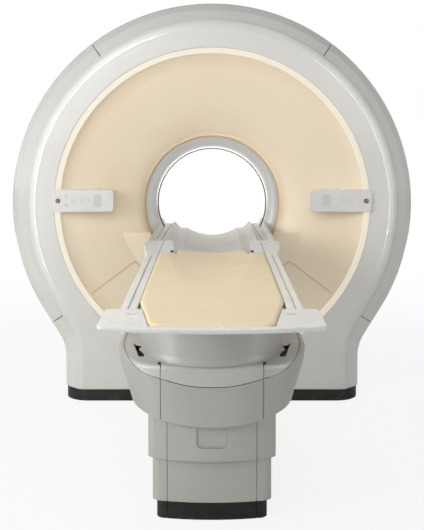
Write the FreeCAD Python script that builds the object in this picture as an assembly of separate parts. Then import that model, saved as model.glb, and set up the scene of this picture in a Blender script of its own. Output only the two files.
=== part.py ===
import FreeCAD, Part
import math
import os

from FreeCAD import Vector

# MRI scanner: a gantry with a round bore, a bridge through the bore's mouth, and a patient table
# whose top slides into the bore and whose pedestal telescopes.
# Millimetres, +Z up, +Y along the bore and away from the table, origin on the floor below the
# middle of the bore.

# ---------------------------------------------------------------- gantry: overall sizes
BORE_HEIGHT = 1045.0          # bore axis above the floor
GANTRY_DEPTH = 1600.0         # front face to rear face
COVER_RADIUS = 1080.0         # flank covers at their widest
CREASE_RADIUS = 985.0         # where the flank meets the front face
FOOT_HALF = 795.0             # half width over the foot
CREASE_FOOT_HALF = 722.0
SHOULDER_DEPTH = 130.0        # front face to the widest section
FLANK_ANGLE = 31.8            # where the round flank runs out into a straight, below the horizontal
FOOT_FILLET = 220.0           # hollow fillet from the straight into the foot
COVER_WALL = 8.0
SEAM = 3.0                    # visible seam between neighbouring covers
FIT = 0.3                     # clearance between pieces that seat on each other
PLINTH_TOP = 62.7
PLINTH_INSET = 8.0
PLINTH_WALL = 15.0
PLINTH_CORNER = 125.0
UPPER_SEAM_ANGLE = 53.3       # seams of the flank covers, from the horizontal
LOWER_SEAM_ANGLE = -36.6

# ---------------------------------------------------------------- gantry: front
FACE_DEPTH = 17.0             # front cover, flat face to its back rim
FACE_WALL = 6.0
FACE_ROLL = 45.0              # width of the soft roll at the rim of the flat face
FACE_ROLL_DEPTH = 12.0
RING_OUTER = 835.0            # light ring
RING_INNER = 808.0
RING_PROUD = 2.0
RING_FLANGE = 785.0
RING_THICKNESS = 6.0
RING_FLANGE_DROP = 11.7       # the bell falls away by this much over the ring's flange
RING_NOTCH = 5.0              # radius of the release notch at the top of the ring
BELL_EDGE_DEPTH = 12.0        # bell behind the front plane at the ring
BELL_EDGE_LAP = 2.0           # bell's edge inside the ring's opening
BELL_RIM_WIDTH = 71.0         # steep rim of the bell inside the ring
BELL_RIM_DROP = 29.0          # and how far it falls away
BELL_RIM_SLOPE = 0.58         # its fall at the ring
BELL_FLARE_SLOPE = 0.2        # and where the long flare takes over
BELL_RIM_HANDLES = (26.0, 20.0)    # radial reach of the curves' handles
BELL_FLARE_HANDLES = (95.0, 76.0)
BELL_DEPTH = 186.0            # and at the mouth
MOUTH_RADIUS = 366.0
BELL_WALL = 5.7
PAD_RADIUS = 505.0            # flat pad on both sides of the bridge
PAD_TOP = 892.0
BELL_SEAM_ANGLE = 36.3
WAIST_RADIUS = 300.0          # narrowest section of the patient bore
WAIST_DEPTH = 226.0
WAIST_LIP = 8.0
SEAL_RADIUS = WAIST_RADIUS - 5.5
SEAL_WIDTH = 5.7
LINER_REAR_RADIUS = 405.0
LINER_WALL = 6.0
REAR_BELL_RADIUS = 620.0
REAR_BELL_DEPTH = 168.0

# ---------------------------------------------------------------- gantry: inside
VESSEL_RADIUS = 880.0
VESSEL_BORE = 480.0
VESSEL_SETBACK = 240.0        # vessel end behind the gantry face
VESSEL_FLANGE = 25.0
COIL_INNER = 416.0            # gradient coil
COIL_LENGTH = 1100.0
RF_COIL_WALL = 5.0
RF_COIL_GAP = 34.0            # from the gradient coil's bore in to the body coil's
RF_COIL_LENGTH = 520.0
HOOP_WIDTH = 40.0
HOOP_DEPTH = 37.0
HOOP_SETBACK = 252.0
STAND_LENGTH = 160.0
STAND_HALF = 520.0
STAND_HEIGHT = 420.0
STAND_FOOT = 70.0             # width of the anchor flange beside each saddle
ANCHOR_HOLE = 9.0             # radius of the floor anchors' holes
VESSEL_WALL = 30.0            # depth of the vessel's end rims
TURRET_RADIUS = 95.0
TURRET_HEIGHT = 120.0
COLD_HEAD_ANGLE = 62.0

# ---------------------------------------------------------------- control panels
PANEL_INNER = 522.0
PANEL_OUTER = 842.0
PANEL_HEIGHT = 120.0
PANEL_TAPER = 8.0
PANEL_Z = 1073.0
PANEL_CORNER = 18.0
PANEL_PROUD = 16.0
STOP_X = 814.0
STOP_RADIUS = 11.0
STOP_STEM = 6.0
STOP_PROUD = 8.0
STOP_TRAVEL = 4.0
KEY_TRAVEL = 1.0
KEY_PROUD = 1.6
KEY_DEPTH = 3.0
DISPLAY_SIZE = (40.0, 64.0)
DISPLAY_X = 605.0
# name, centre from the bore axis, centre from the panel's middle, width, height
KEYS_LEFT = (
    ("table_out_key", 772.0, 22.0, 17.0, 17.0),
    ("table_in_key", 772.0, -22.0, 17.0, 17.0),
    ("table_up_key", 733.0, 0.0, 24.0, 40.0),
    ("table_down_key", 688.0, 0.0, 24.0, 40.0),
    ("bore_light_key", 652.0, 0.0, 17.0, 30.0),
)
KEYS_RIGHT = (
    ("laser_key", 690.0, 0.0, 20.0, 34.0),
    ("fan_key", 728.0, 0.0, 26.0, 34.0),
)

# ---------------------------------------------------------------- bridge
BRIDGE_NEAR = -1440.0
BRIDGE_FAR = -420.0
BRIDGE_FLOOR = 847.0
BRIDGE_STEP = 887.0
RIDGE_TOP = 923.6
SHELF_TOP = 912.0
CURB_NEAR = 920.0
CURB_FAR = 941.0
CURB_WIDTH = 8.0              # flat top of the curb
SLOT_NEAR = 256.0             # cable slot in the shelf, outer edge at the bridge's ends
SLOT_FAR = 229.5
BRIDGE_UNDER_RADIUS = SEAL_RADIUS - 6.5
SLOT_WIDTH = 5.0
SLOT_DEPTH = 6.0
BRIDGE_CLEAR = 2.5

# ---------------------------------------------------------------- table top
TABLE_TOP = 945.0
PLATE_FRONT = -3386.0
PLATE_REAR = -3097.0
PLATE_HALF = 315.0
PLATE_BOW = 45.0
PLATE_THICKNESS = 14.0
PAD_GAP = 1.5
BOARD_HALF = 221.0
BOARD_TOP = 930.0
BOARD_EDGE_UNDER = 924.0
BOARD_KEEL_START = -2940.0
BOARD_FAR = -1725.0
BOARD_KEEL = 868.0
BOARD_STEP = 893.0
DISH_START = -2900.0
BOARD_DISH = 25.0             # depth of the board's dish at the head end
BOARD_DISH_HALF = 150.0
BOARD_LIP = 8.0               # lip round the pad's head end
PAD_BOW = 20.0                # hollow of the pad's head end
PAD_DISH = 23.0
PAD_DISH_HALF = 196.0
MATTRESS_TOP = 948.0
MATTRESS_HALF = BOARD_HALF + 1.0
MATTRESS_NEAR_HALF = MATTRESS_HALF - 50.0
MATTRESS_NEAR = -3342.0
MATTRESS_TAPER_START = -2985.0
SHOE_NEAR = -1890.0
SHOE_FAR = -1469.0
SHOE_INNER_NEAR = BOARD_HALF - 64.0
SHOE_INNER_FAR = BOARD_HALF - 41.0
RAIL_GAP = 2.0
RAIL_OUTER = BOARD_HALF + 51.3
RAIL_GROOVE = 8.0
RAIL_GROOVE_DEPTH = 10.0
BRACKET_OUTER = BOARD_HALF + 84.0

# ---------------------------------------------------------------- table frame
BEAM_HALF = BOARD_HALF + 47.0
BEAM_TOP = 905.0
BEAM_BOTTOM = 800.0
BEAM_NOSE = -3180.0
BEAM_DEEP_START = -2700.0
BEAM_FAR = -1475.0
BEAM_WALL = 6.0
GLIDE_INNER = BOARD_HALF - 18.0
GLIDE_TOP = 923.7

# ---------------------------------------------------------------- pedestal
PEDESTAL_FRONT = -2352.5
PEDESTAL_REAR = -1560.0
BASE_HALF = 209.0
BASE_TOP = 66.0
BASE_PLATE = 12.0
LOWER_HALF = 225.5
LOWER_FRONT = -2354.0
LOWER_TOP = 262.0
MID_HALF = 242.0
MID_FRONT = -2379.0
MID_BOTTOM = 231.0
MID_TOP = 428.0
STAGE_REAR_STEP = 16.0        # each cover stands that much behind the one below
PANEL_WALL = 4.0
LAP = 4.0                     # thickness of the flange behind a panel's seam
LAP_WIDTH = 20.0
FRONT_RADIUS = 900.0
MID_FRONT_RADIUS = 560.0
PEDESTAL_CORNER = 35.0
PANEL_SEAM_HALF = 167.0
GRIP_HALF = 58.0              # finger recess in the middle cover
GRIP_BOTTOM = 280.0
SHROUD_SEAM_HALF = 190.6
SHROUD_FRONT = -2400.0
SHROUD_REACH = 285.0          # front to the widest line
SHROUD_REAR_START = -1730.0
SHROUD_REAR_REACH = 270.0
SHROUD_WALL = 5.0
SHROUD_ROLL = 18.0
SHROUD_BOTTOM = 366.0         # lowest point of the bowed lower edge
SHROUD_BOTTOM_RADIUS = 1000.0
# half width and height of the bowed seam between shroud and bowl, seen from the front
SMILE = (
    (0.0, 515.5), (100.0, 522.0), (190.0, 541.5), (256.0, 557.0), (286.0, 572.5), (309.0, 592.0),
    (326.0, 608.0), (338.0, 621.0), (347.0, 635.0), (352.0, 660.0),
)
DECK_TOP = 592.0              # deck at the front, and where it has risen along the sides
DECK_REAR = 630.0
DECK_RISE_START = -2345.0
DECK_RISE_END = -2150.0
SHROUD_TOP = 640.0
BOWL_BACK = -1800.0
CARRIER_TOP = 584.5
CARRIER_PLATE = 5.0
CRADLE_TOP = 866.0
LIFT_TRAVEL = 300.0
MID_TRAVEL = 150.0
COLUMN_Y = -1950.0
COLUMN_HALF_X = 110.0
COLUMN_HALF_Y = 130.0
COLUMN_WALL = 8.0
COLUMN_GAP = 0.5
COLUMN_FLOOR_GAP = 8.0
YOKE_BOTTOM = 690.0
YOKE_PLATE = 12.0
DUCT_HALF = 110.0
DUCT_TOP = 45.0

FRONT_Y = -GANTRY_DEPTH / 2
REAR_Y = GANTRY_DEPTH / 2
BORE_CENTRE = Vector(0, 0, BORE_HEIGHT)
Y_AXIS = Vector(0, 1, 0)
FAR = 3000.0

PARTS = {}


def keep(name, shape):
    """Store a node's shape."""
    PARTS[name] = shape.removeSplitter()


# ---------------------------------------------------------------- general helpers
def box(x0, x1, y0, y1, z0, z1):
    return Part.makeBox(x1 - x0, y1 - y0, z1 - z0, Vector(x0, y0, z0))


def polygon(points):
    return Part.makePolygon(list(points) + [points[0]])


def prism(wire, direction):
    return Part.Face(wire).extrude(direction)


def prism_y(points_xz, y0, y1):
    """Extrude a closed outline given as (x, z) along Y."""
    return prism(polygon([Vector(x, y0, z) for x, z in points_xz]), Vector(0, y1 - y0, 0))


def prism_z(points_xy, z0, z1):
    """Extrude a closed outline given as (x, y) along Z."""
    return prism(polygon([Vector(x, y, z0) for x, y in points_xy]), Vector(0, 0, z1 - z0))


def cylinder_y(radius, y0, y1, x=0.0, z=BORE_HEIGHT):
    return Part.makeCylinder(radius, y1 - y0, Vector(x, y0, z), Y_AXIS)


def mirrored(shape):
    """The same shape on the other side of the YZ plane."""
    return shape.mirror(Vector(0, 0, 0), Vector(1, 0, 0))


def both_sides(shape):
    return shape.fuse(mirrored(shape))


def revolve(edges):
    """Turn a closed profile, drawn as (radius, y), about the bore axis."""
    return Part.Face(Part.Wire(edges)).revolve(BORE_CENTRE, Y_AXIS, 360)


def at(radius, depth):
    """A point of a turned profile, depth counted from the gantry's front plane."""
    return Vector(radius, FRONT_Y + depth, BORE_HEIGHT)


def lines(points):
    return [Part.makeLine(a, b) for a, b in zip(points, points[1:])]


def bezier(*points):
    curve = Part.BezierCurve()
    curve.setPoles(list(points))
    return curve.toShape()


def turned(points):
    """Turn a closed polygon of (radius, depth) about the bore axis."""
    corners = [at(r, d) for r, d in points]
    return revolve(lines(corners + [corners[0]]))


def sector(start, end, gap=0.0, radius=FAR):
    """A wedge about the bore axis between two angles, its sides drawn in by half the gap."""
    a, b = math.radians(start), math.radians(end)
    middle = (a + b) / 2
    inset = gap / 2 / math.sin((b - a) / 2) if gap else 0.0
    apex = (inset * math.cos(middle), inset * math.sin(middle))
    steps = [a + (b - a) * i / 6 for i in range(7)]
    rim = [(apex[0] + radius * math.cos(t), apex[1] + radius * math.sin(t)) for t in steps]
    points = [(x, z + BORE_HEIGHT) for x, z in [apex] + rim]
    return prism_y(points, FRONT_Y - 100, REAR_Y + 100)


# ---------------------------------------------------------------- gantry covers
def cover_outline(y, inset, bottom):
    """The gantry's outline at one depth: round top, straight flanks, hollow fillets and foot."""
    radius = COVER_RADIUS - inset
    foot = FOOT_HALF - inset * (FOOT_HALF - CREASE_FOOT_HALF) / (COVER_RADIUS - CREASE_RADIUS)
    fillet = FOOT_FILLET + inset * 0.8
    angle = math.radians(FLANK_ANGLE)
    run = (radius * math.cos(angle) - foot) / math.sin(angle)
    trim = fillet * math.tan(angle / 2)
    leave = (radius * math.cos(angle), BORE_HEIGHT - radius * math.sin(angle))
    low = leave[1] - run * math.cos(angle) - trim
    enter = (foot + fillet - fillet * math.cos(angle), low + fillet * math.sin(angle))
    bend = (foot + fillet - fillet * math.cos(angle / 2), low + fillet * math.sin(angle / 2))

    def point(p, side=1):
        return Vector(side * p[0], y, p[1])

    def round_part(side):
        rise = (math.pi / 2 - angle) / 2
        middle = (radius * math.cos(rise), BORE_HEIGHT + radius * math.sin(rise))
        ends = [point(leave, side), point(middle, side), Vector(0, y, BORE_HEIGHT + radius)]
        return ends if side > 0 else ends[::-1]

    edges = [
        Part.Arc(*round_part(1)).toShape(),
        Part.Arc(*round_part(-1)).toShape(),
        Part.makeLine(point(leave, -1), point(enter, -1)),
        Part.Arc(point(enter, -1), point(bend, -1), point((foot, low), -1)).toShape(),
        Part.makeLine(point((foot, low), -1), point((foot, bottom), -1)),
        Part.makeLine(point((foot, bottom), -1), point((foot, bottom))),
        Part.makeLine(point((foot, bottom)), point((foot, low))),
        Part.Arc(point((foot, low)), point(bend), point(enter)).toShape(),
        Part.makeLine(point(enter), point(leave)),
    ]
    return Part.Wire(edges)


def cover_prism(y0, y1, inset, bottom):
    return prism(cover_outline(y0, inset, bottom), Vector(0, y1 - y0, 0))


def shoulder(extra, bottom):
    """The front shoulder of the flank: from the crease out to the widest section."""
    rise = COVER_RADIUS - CREASE_RADIUS
    run = SHOULDER_DEPTH - FACE_DEPTH
    wires = []
    for step in range(4):
        share = step / 3
        inset = rise * (1 - share) ** 2 + extra
        wires.append(cover_outline(FRONT_Y + FACE_DEPTH + FIT + run * share, inset, bottom))
    return Part.makeLoft(wires, True, True)


def mirrored_y(shape):
    return shape.mirror(Vector(0, 0, 0), Y_AXIS)


def flank_body(extra, bottom):
    front = shoulder(extra, bottom)
    reach = REAR_Y - SHOULDER_DEPTH - FIT
    middle = cover_prism(-reach, reach, extra, bottom)
    return front.fuse([middle, mirrored_y(front)])


def make_flank_covers():
    bottom = PLINTH_TOP + FIT
    shell = flank_body(0, bottom).cut(flank_body(COVER_WALL, bottom - 50))
    upper, lower = UPPER_SEAM_ANGLE, LOWER_SEAM_ANGLE
    keep("flank_cover_top", shell.common(sector(upper, 180 - upper, SEAM)))
    right = shell.common(sector(lower, upper, SEAM))
    keep("flank_cover_right", right)
    keep("flank_cover_left", mirrored(right))
    foot = shell.common(sector(-89.9, lower, SEAM)).common(box(0, FAR, -FAR, FAR, -FAR, FAR))
    keep("foot_covers", both_sides(foot))


def face_cover_body():
    """The front face with its soft rolled rim, hollow behind."""
    bottom = PLINTH_TOP + FIT
    crease = COVER_RADIUS - CREASE_RADIUS
    stations = ((0.0, 1.0), (0.375, 0.45), (1.0, 0.0))
    wires = [
        cover_outline(FRONT_Y + FACE_ROLL_DEPTH * depth, crease + FACE_ROLL * share, bottom)
        for depth, share in stations
    ]
    roll = Part.makeLoft(wires, True, True)
    back = cover_prism(FRONT_Y + FACE_ROLL_DEPTH, FRONT_Y + FACE_DEPTH, crease, bottom)
    hollow = cover_prism(
        FRONT_Y + FACE_WALL, FRONT_Y + FACE_DEPTH + 1, crease + FACE_ROLL + 8, bottom + FACE_WALL
    )
    return roll.fuse(back), hollow


def make_front_cover():
    body, hollow = face_cover_body()
    rim = cylinder_y(RING_OUTER + 15, FRONT_Y - 1, FRONT_Y + 60)
    hole = cylinder_y(RING_OUTER, FRONT_Y - 5, FRONT_Y + 60)
    keep("front_cover", body.cut(hollow.cut(rim)).cut(hole))


def make_rear_cover():
    body, hollow = face_cover_body()
    rim = cylinder_y(REAR_BELL_RADIUS + 15, FRONT_Y - 1, FRONT_Y + 60)
    hole = cylinder_y(REAR_BELL_RADIUS, FRONT_Y - 5, FRONT_Y + 60)
    keep("rear_cover", mirrored_y(body.cut(hollow.cut(rim)).cut(hole)))


def make_light_ring():
    back = BELL_EDGE_DEPTH + BELL_WALL + RING_FLANGE_DROP
    outer = RING_OUTER - FIT
    ring = turned([
        (RING_INNER, -RING_PROUD),
        (outer, -RING_PROUD),
        (outer, back + RING_THICKNESS),
        (RING_FLANGE, back + RING_THICKNESS),
        (RING_FLANGE, back),
        (RING_INNER, back),
    ])
    notch = cylinder_y(RING_NOTCH, FRONT_Y - 5, FRONT_Y + 5, z=BORE_HEIGHT + RING_INNER + 2)
    keep("light_ring", ring.cut(notch))


def bell_profile(wall):
    """The bell's front drawn back by the wall, from the ring in: the steep rim, then the flare."""
    edge = RING_INNER - BELL_EDGE_LAP
    knee = edge - BELL_RIM_WIDTH
    mouth = MOUTH_RADIUS + wall
    edge_depth = BELL_EDGE_DEPTH + wall
    knee_depth = edge_depth + BELL_RIM_DROP
    mouth_depth = BELL_DEPTH + wall
    first, second = BELL_RIM_HANDLES
    rim = bezier(
        at(edge, edge_depth),
        at(edge - first, edge_depth + BELL_RIM_SLOPE * first),
        at(knee + second, knee_depth - BELL_FLARE_SLOPE * second),
        at(knee, knee_depth),
    )
    first, second = BELL_FLARE_HANDLES
    flare = bezier(
        at(knee, knee_depth),
        at(knee - first, knee_depth + BELL_FLARE_SLOPE * first),
        at(mouth, mouth_depth - second),
        at(mouth, mouth_depth),
    )
    return [rim, flare]


def bell_body(wall):
    """What lies behind the bell's front surface, the whole surface drawn back by the wall."""
    edge = RING_INNER - BELL_EDGE_LAP
    mouth = MOUTH_RADIUS + wall
    back = BELL_DEPTH + BELL_WALL + wall
    start = at(edge, BELL_EDGE_DEPTH + wall)
    end = at(mouth, BELL_DEPTH + wall)
    rest = lines([end, at(mouth, back), at(edge, back), start])
    body = revolve(bell_profile(wall) + rest)
    face = bell_pad_depth()
    pad = turned([(mouth, face + wall), (PAD_RADIUS, face + wall), (PAD_RADIUS, back), (mouth, back)])
    return body.fuse(pad.common(box(-FAR, FAR, -FAR, FAR, -FAR, PAD_TOP - wall)))


def bell_pad_depth():
    """Depth of the flare at the pad's radius, where the flat pad starts."""
    curve = bell_profile(0.0)[1].Curve
    low, high = 0.0, 1.0
    for _ in range(40):
        middle = (low + high) / 2
        if curve.value(middle).x > PAD_RADIUS:
            low = middle
        else:
            high = middle
    return curve.value(low).y - FRONT_Y


def lower_bell_region(gap):
    """The ring sector of the lower bell panel, with rounded inner corners."""
    wedge = sector(-180 + BELL_SEAM_ANGLE, -BELL_SEAM_ANGLE, gap)
    inner = cylinder_y(PAD_RADIUS + 6 + gap / 2, FRONT_Y - 200, REAR_Y + 200)
    outer = cylinder_y(RING_OUTER, FRONT_Y - 50, FRONT_Y + 400)
    region = outer.common(wedge).cut(inner)
    corners = [e for e in region.Edges if is_inner_corner(e)]
    return region.makeFillet(18.0 + gap / 2, corners)


def is_inner_corner(edge):
    along_y = len(edge.Vertexes) == 2 and abs(edge.tangentAt(edge.FirstParameter).y) > 0.999
    if not along_y:
        return False
    p = edge.CenterOfMass
    return math.hypot(p.x, p.z - BORE_HEIGHT) < PAD_RADIUS + 20


def make_bell():
    shell = bell_body(0).cut(bell_body(BELL_WALL))
    keep("bell_main", shell.cut(lower_bell_region(0)))
    keep("bell_lower_panel", shell.common(lower_bell_region(SEAM * 2)))


def make_mouth_ring():
    flange = BELL_DEPTH + BELL_WALL + FIT
    start = at(MOUTH_RADIUS - FIT, BELL_DEPTH - 6)
    end = at(WAIST_RADIUS, WAIST_DEPTH)
    lip = bezier(start, at(335, BELL_DEPTH - 4), at(WAIST_RADIUS, 200), end)
    back = WAIST_DEPTH + WAIST_LIP
    rest = lines([
        end,
        at(WAIST_RADIUS, back),
        at(WAIST_RADIUS + 18, back),
        at(MOUTH_RADIUS + 6, flange + 14),
        at(MOUTH_RADIUS + 34, flange + 14),
        at(MOUTH_RADIUS + 34, flange),
        at(MOUTH_RADIUS - FIT, flange),
        start,
    ])
    keep("mouth_ring", revolve([lip] + rest))


def make_bore_liner():
    front = WAIST_DEPTH + WAIST_LIP + FIT
    seal_back = front + SEAL_WIDTH
    keep("bore_seal", turned([
        (SEAL_RADIUS, front), (WAIST_RADIUS + 14, front),
        (WAIST_RADIUS + 14, seal_back), (SEAL_RADIUS, seal_back),
    ]))
    start = seal_back + FIT
    end = GANTRY_DEPTH - REAR_BELL_DEPTH - 12
    flange = COIL_INNER - FIT
    wall = LINER_WALL
    keep("bore_liner", turned([
        (WAIST_RADIUS, start),
        (flange, start), (flange, start + wall),
        (WAIST_RADIUS + wall + 3, start + wall),
        (LINER_REAR_RADIUS + wall, end - wall),
        (flange, end - wall), (flange, end),
        (LINER_REAR_RADIUS, end),
    ]))


def make_rear_bell():
    mouth = LINER_REAR_RADIUS
    deep = GANTRY_DEPTH - REAR_BELL_DEPTH - 12 + FIT
    edge = REAR_BELL_RADIUS - FIT
    face = GANTRY_DEPTH + RING_PROUD
    start, end = at(edge, face), at(mouth, deep)
    front = bezier(start, at(edge - 60, face - 40), at(mouth, deep + 70), end)
    rest = lines([
        end, at(mouth + 30, deep), at(mouth + 30, deep + 40), at(edge - 8, face - FACE_DEPTH - 30),
        at(edge, face - FACE_DEPTH - 30), start,
    ])
    keep("rear_bell", revolve([front] + rest))


# ---------------------------------------------------------------- gantry inside
def plinth_ring(grow):
    """The kickboard round the foot, both faces moved out by grow."""
    def block(inset, corner, z0, z1):
        half = FOOT_HALF - PLINTH_INSET - inset
        y = REAR_Y - PLINTH_INSET - inset
        body = box(-half, half, -y, y, z0, z1)
        return body.makeFillet(corner, [e for e in body.Edges if is_post(e)])

    outer = block(-grow, PLINTH_CORNER + grow, -grow, PLINTH_TOP + grow)
    inner = block(PLINTH_WALL + grow, PLINTH_CORNER - PLINTH_WALL - grow, -1 - grow, PLINTH_TOP + 1 + grow)
    return outer.cut(inner)


def make_plinth():
    keep("plinth", plinth_ring(0))


def make_magnet():
    front, back = VESSEL_SETBACK, GANTRY_DEPTH - VESSEL_SETBACK
    shell = VESSEL_RADIUS - VESSEL_WALL
    vessel = turned([
        (VESSEL_BORE, front), (VESSEL_RADIUS, front),
        (VESSEL_RADIUS, front + VESSEL_FLANGE), (shell, front + VESSEL_FLANGE),
        (shell, back - VESSEL_FLANGE), (VESSEL_RADIUS, back - VESSEL_FLANGE),
        (VESSEL_RADIUS, back), (VESSEL_BORE, back),
    ])
    turret = Part.makeCylinder(TURRET_RADIUS, TURRET_HEIGHT + 40,
                               Vector(0, -60, BORE_HEIGHT + VESSEL_RADIUS - 72))
    keep("magnet_vessel", vessel.fuse(turret))
    middle = GANTRY_DEPTH / 2
    half = COIL_LENGTH / 2
    keep("gradient_coil", turned([
        (COIL_INNER, middle - half), (VESSEL_BORE - FIT, middle - half),
        (VESSEL_BORE - FIT, middle + half), (COIL_INNER, middle + half),
    ]))
    half = RF_COIL_LENGTH / 2
    inner = COIL_INNER - RF_COIL_GAP
    collar = 14.0
    keep("body_coil", turned([
        (inner, middle - half), (COIL_INNER - FIT, middle - half),
        (COIL_INNER - FIT, middle - half + collar), (inner + RF_COIL_WALL, middle - half + collar),
        (inner + RF_COIL_WALL, middle + half - collar), (COIL_INNER - FIT, middle + half - collar),
        (COIL_INNER - FIT, middle + half), (inner, middle + half),
    ]))
    make_cold_head()
    stand = magnet_stand(REAR_Y - VESSEL_SETBACK - 60 - STAND_LENGTH / 2)
    keep("magnet_stands", stand.fuse(mirrored_y(stand)))


def make_cold_head():
    """The refrigerator head, upright on the vessel beside the turret."""
    base = VESSEL_RADIUS - VESSEL_WALL - 2
    drum = cylinder_y(VESSEL_RADIUS - VESSEL_WALL, -FAR, FAR)
    angle = math.radians(COLD_HEAD_ANGLE)
    out = Vector(math.cos(angle), 0, math.sin(angle))
    start = BORE_CENTRE + out * base + Vector(0, 200, 0)
    head = Part.makeCylinder(60, 90, start, out)
    motor = Part.makeCylinder(38, 160, start, out)
    keep("cold_head", head.fuse(motor).cut(drum))


def magnet_stand(y):
    """A steel saddle under the vessel, with an anchor flange on both sides."""
    half = STAND_LENGTH / 2
    body = box(-STAND_HALF, STAND_HALF, y - half, y + half, 0, STAND_HEIGHT)
    foot = STAND_HALF + STAND_FOOT
    body = body.fuse(box(-foot, foot, y - half, y + half, 0, 20))
    drum = cylinder_y(VESSEL_RADIUS - VESSEL_WALL + FIT, -FAR, FAR)
    window = box(-200, 200, y - half - 1, y + half + 1, -1, 110)
    body = body.cut(drum).cut(window)
    for x in (-STAND_HALF - STAND_FOOT / 2, STAND_HALF + STAND_FOOT / 2):
        body = body.cut(Part.makeCylinder(ANCHOR_HOLE, 22, Vector(x, y, -1)))
    return body


def cover_hoop(y):
    """An arch that stands on the floor and carries the flank covers."""
    y0, y1 = y - HOOP_WIDTH / 2, y + HOOP_WIDTH / 2
    outer = cover_prism(y0, y1, COVER_WALL + FIT, 0)
    inner = cover_prism(y0 - 1, y1 + 1, COVER_WALL + FIT + HOOP_DEPTH, -10)
    lugs = []
    for angle in (0, 45, 135, 180):
        lug = box(VESSEL_RADIUS - 40, COVER_RADIUS - COVER_WALL - 20, y0, y1, -25, 25)
        lug.rotate(Vector(0, 0, 0), Y_AXIS, -angle)
        lug.translate(BORE_CENTRE)
        lugs.append(lug)
    vessel = cylinder_y(VESSEL_RADIUS + FIT, -FAR, FAR)
    return outer.cut(inner).fuse(lugs).cut(vessel).cut(plinth_ring(FIT))


def make_cover_hoops():
    hoop = cover_hoop(FRONT_Y + HOOP_SETBACK)
    keep("cover_hoops", hoop.fuse(mirrored_y(hoop)))


# ---------------------------------------------------------------- control panels
def gantry_front_region():
    """Everything behind the front surfaces of the bell, the light ring and the front cover."""
    band = turned([
        (RING_INNER - BELL_EDGE_LAP, -RING_PROUD - FIT), (CREASE_RADIUS, -RING_PROUD - FIT),
        (CREASE_RADIUS, 260), (RING_INNER - BELL_EDGE_LAP, 260),
    ])
    return band.fuse(bell_body(-FIT))


def panel_body():
    """The right control panel: a rounded, slightly tapered front on a boss that meets the bell."""
    top = PANEL_HEIGHT / 2
    y = FRONT_Y - PANEL_PROUD
    corners = [
        (PANEL_INNER, PANEL_Z - top + PANEL_TAPER / 2), (PANEL_OUTER, PANEL_Z - top),
        (PANEL_OUTER, PANEL_Z + top), (PANEL_INNER, PANEL_Z + top - PANEL_TAPER / 2),
    ]
    body = prism_y(corners, y, FRONT_Y + 160)
    edges = [e for e in body.Edges if abs(e.tangentAt(0).y) > 0.99]
    body = body.makeFillet(PANEL_CORNER, edges)
    return body.cut(gantry_front_region())


def key_centre(x, lift):
    return Vector(x, FRONT_Y - PANEL_PROUD, PANEL_Z + lift)


def key_block(centre, width, height, front, back, grow=0.0):
    w, h = width / 2 + grow, height / 2 + grow
    body = box(centre.x - w, centre.x + w, front, back, centre.z - h, centre.z + h)
    edges = [e for e in body.Edges if abs(e.tangentAt(0).y) > 0.99]
    return body.makeFillet(3.0 + grow, edges)


def make_control_panels():
    """Housing, display, keys and stop button on each side."""
    face = FRONT_Y - PANEL_PROUD
    width, height = DISPLAY_SIZE
    display = key_centre(DISPLAY_X, 0)
    window = key_block(display, width, height, face - 0.2, face + 2)
    keep("displays", both_sides(window))
    for side, keys in (("right", KEYS_RIGHT), ("left", KEYS_LEFT)):
        body = panel_body()
        pocket_floor = face + KEY_DEPTH + KEY_TRAVEL + FIT
        pieces = {}
        for name, x, lift, width, height in keys:
            centre = key_centre(x, lift)
            body = body.cut(key_block(centre, width, height, face - 1, pocket_floor, FIT))
            pieces[name] = key_block(centre, width, height, face - KEY_PROUD, face + KEY_DEPTH)
        body = body.cut(key_block(display, *DISPLAY_SIZE, face - 1, face + 2 + FIT, FIT))
        body = body.cut(stop_bore(face))
        pieces["stop_button_" + side] = stop_button(face)
        pieces["control_panel_" + side] = body
        for name, shape in pieces.items():
            keep(name, shape if side == "right" else mirrored(shape))


def stop_bore(face):
    stem = cylinder_y(STOP_STEM + FIT, face - 1, face + 14, STOP_X, PANEL_Z)
    seat = cylinder_y(STOP_RADIUS + 1, face - 1, face + 1.5, STOP_X, PANEL_Z)
    return stem.fuse(seat)


def stop_button(face):
    head = cylinder_y(STOP_RADIUS, face - STOP_PROUD, face - STOP_TRAVEL + 1, STOP_X, PANEL_Z)
    rim = [e for e in head.Edges if abs(e.CenterOfMass.y - (face - STOP_PROUD)) < 0.01]
    head = head.makeFillet(2.0, rim)
    return head.fuse(cylinder_y(STOP_STEM, face - STOP_PROUD + 1, face + 9, STOP_X, PANEL_Z))


# ---------------------------------------------------------------- bridge
def bridge_section(y, ridge, shelf_outer, slope, curb):
    """The bridge's section: dished floor, ridge, cable shelf and curb over a round belly."""
    floor_edge, step_outer = 142.0, ridge - 34.0
    tip = shelf_outer + slope + CURB_WIDTH
    half = [
        (floor_edge, BRIDGE_STEP), (step_outer, BRIDGE_STEP), (ridge, RIDGE_TOP),
        (ridge + 12, SHELF_TOP), (shelf_outer, SHELF_TOP), (shelf_outer + slope, curb), (tip, curb),
    ]
    right = [Vector(x, y, z) for x, z in half]
    left = [Vector(-x, y, z) for x, z in half]
    flare = 240.0
    drop = BORE_HEIGHT - math.sqrt(BRIDGE_UNDER_RADIUS**2 - flare**2)
    belly = [Vector(-flare, y, drop), Vector(0, y, BORE_HEIGHT - BRIDGE_UNDER_RADIUS), Vector(flare, y, drop)]
    edges = [Part.Arc(left[0], Vector(0, y, BRIDGE_FLOOR), right[0]).toShape()]
    edges += lines(right + [Vector(tip, y, SHELF_TOP - 6), belly[2]])
    edges += [Part.Arc(belly[2], belly[1], belly[0]).toShape()]
    edges += lines([belly[0], Vector(-tip, y, SHELF_TOP - 6)] + left[::-1])
    return Part.Wire(edges)


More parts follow.
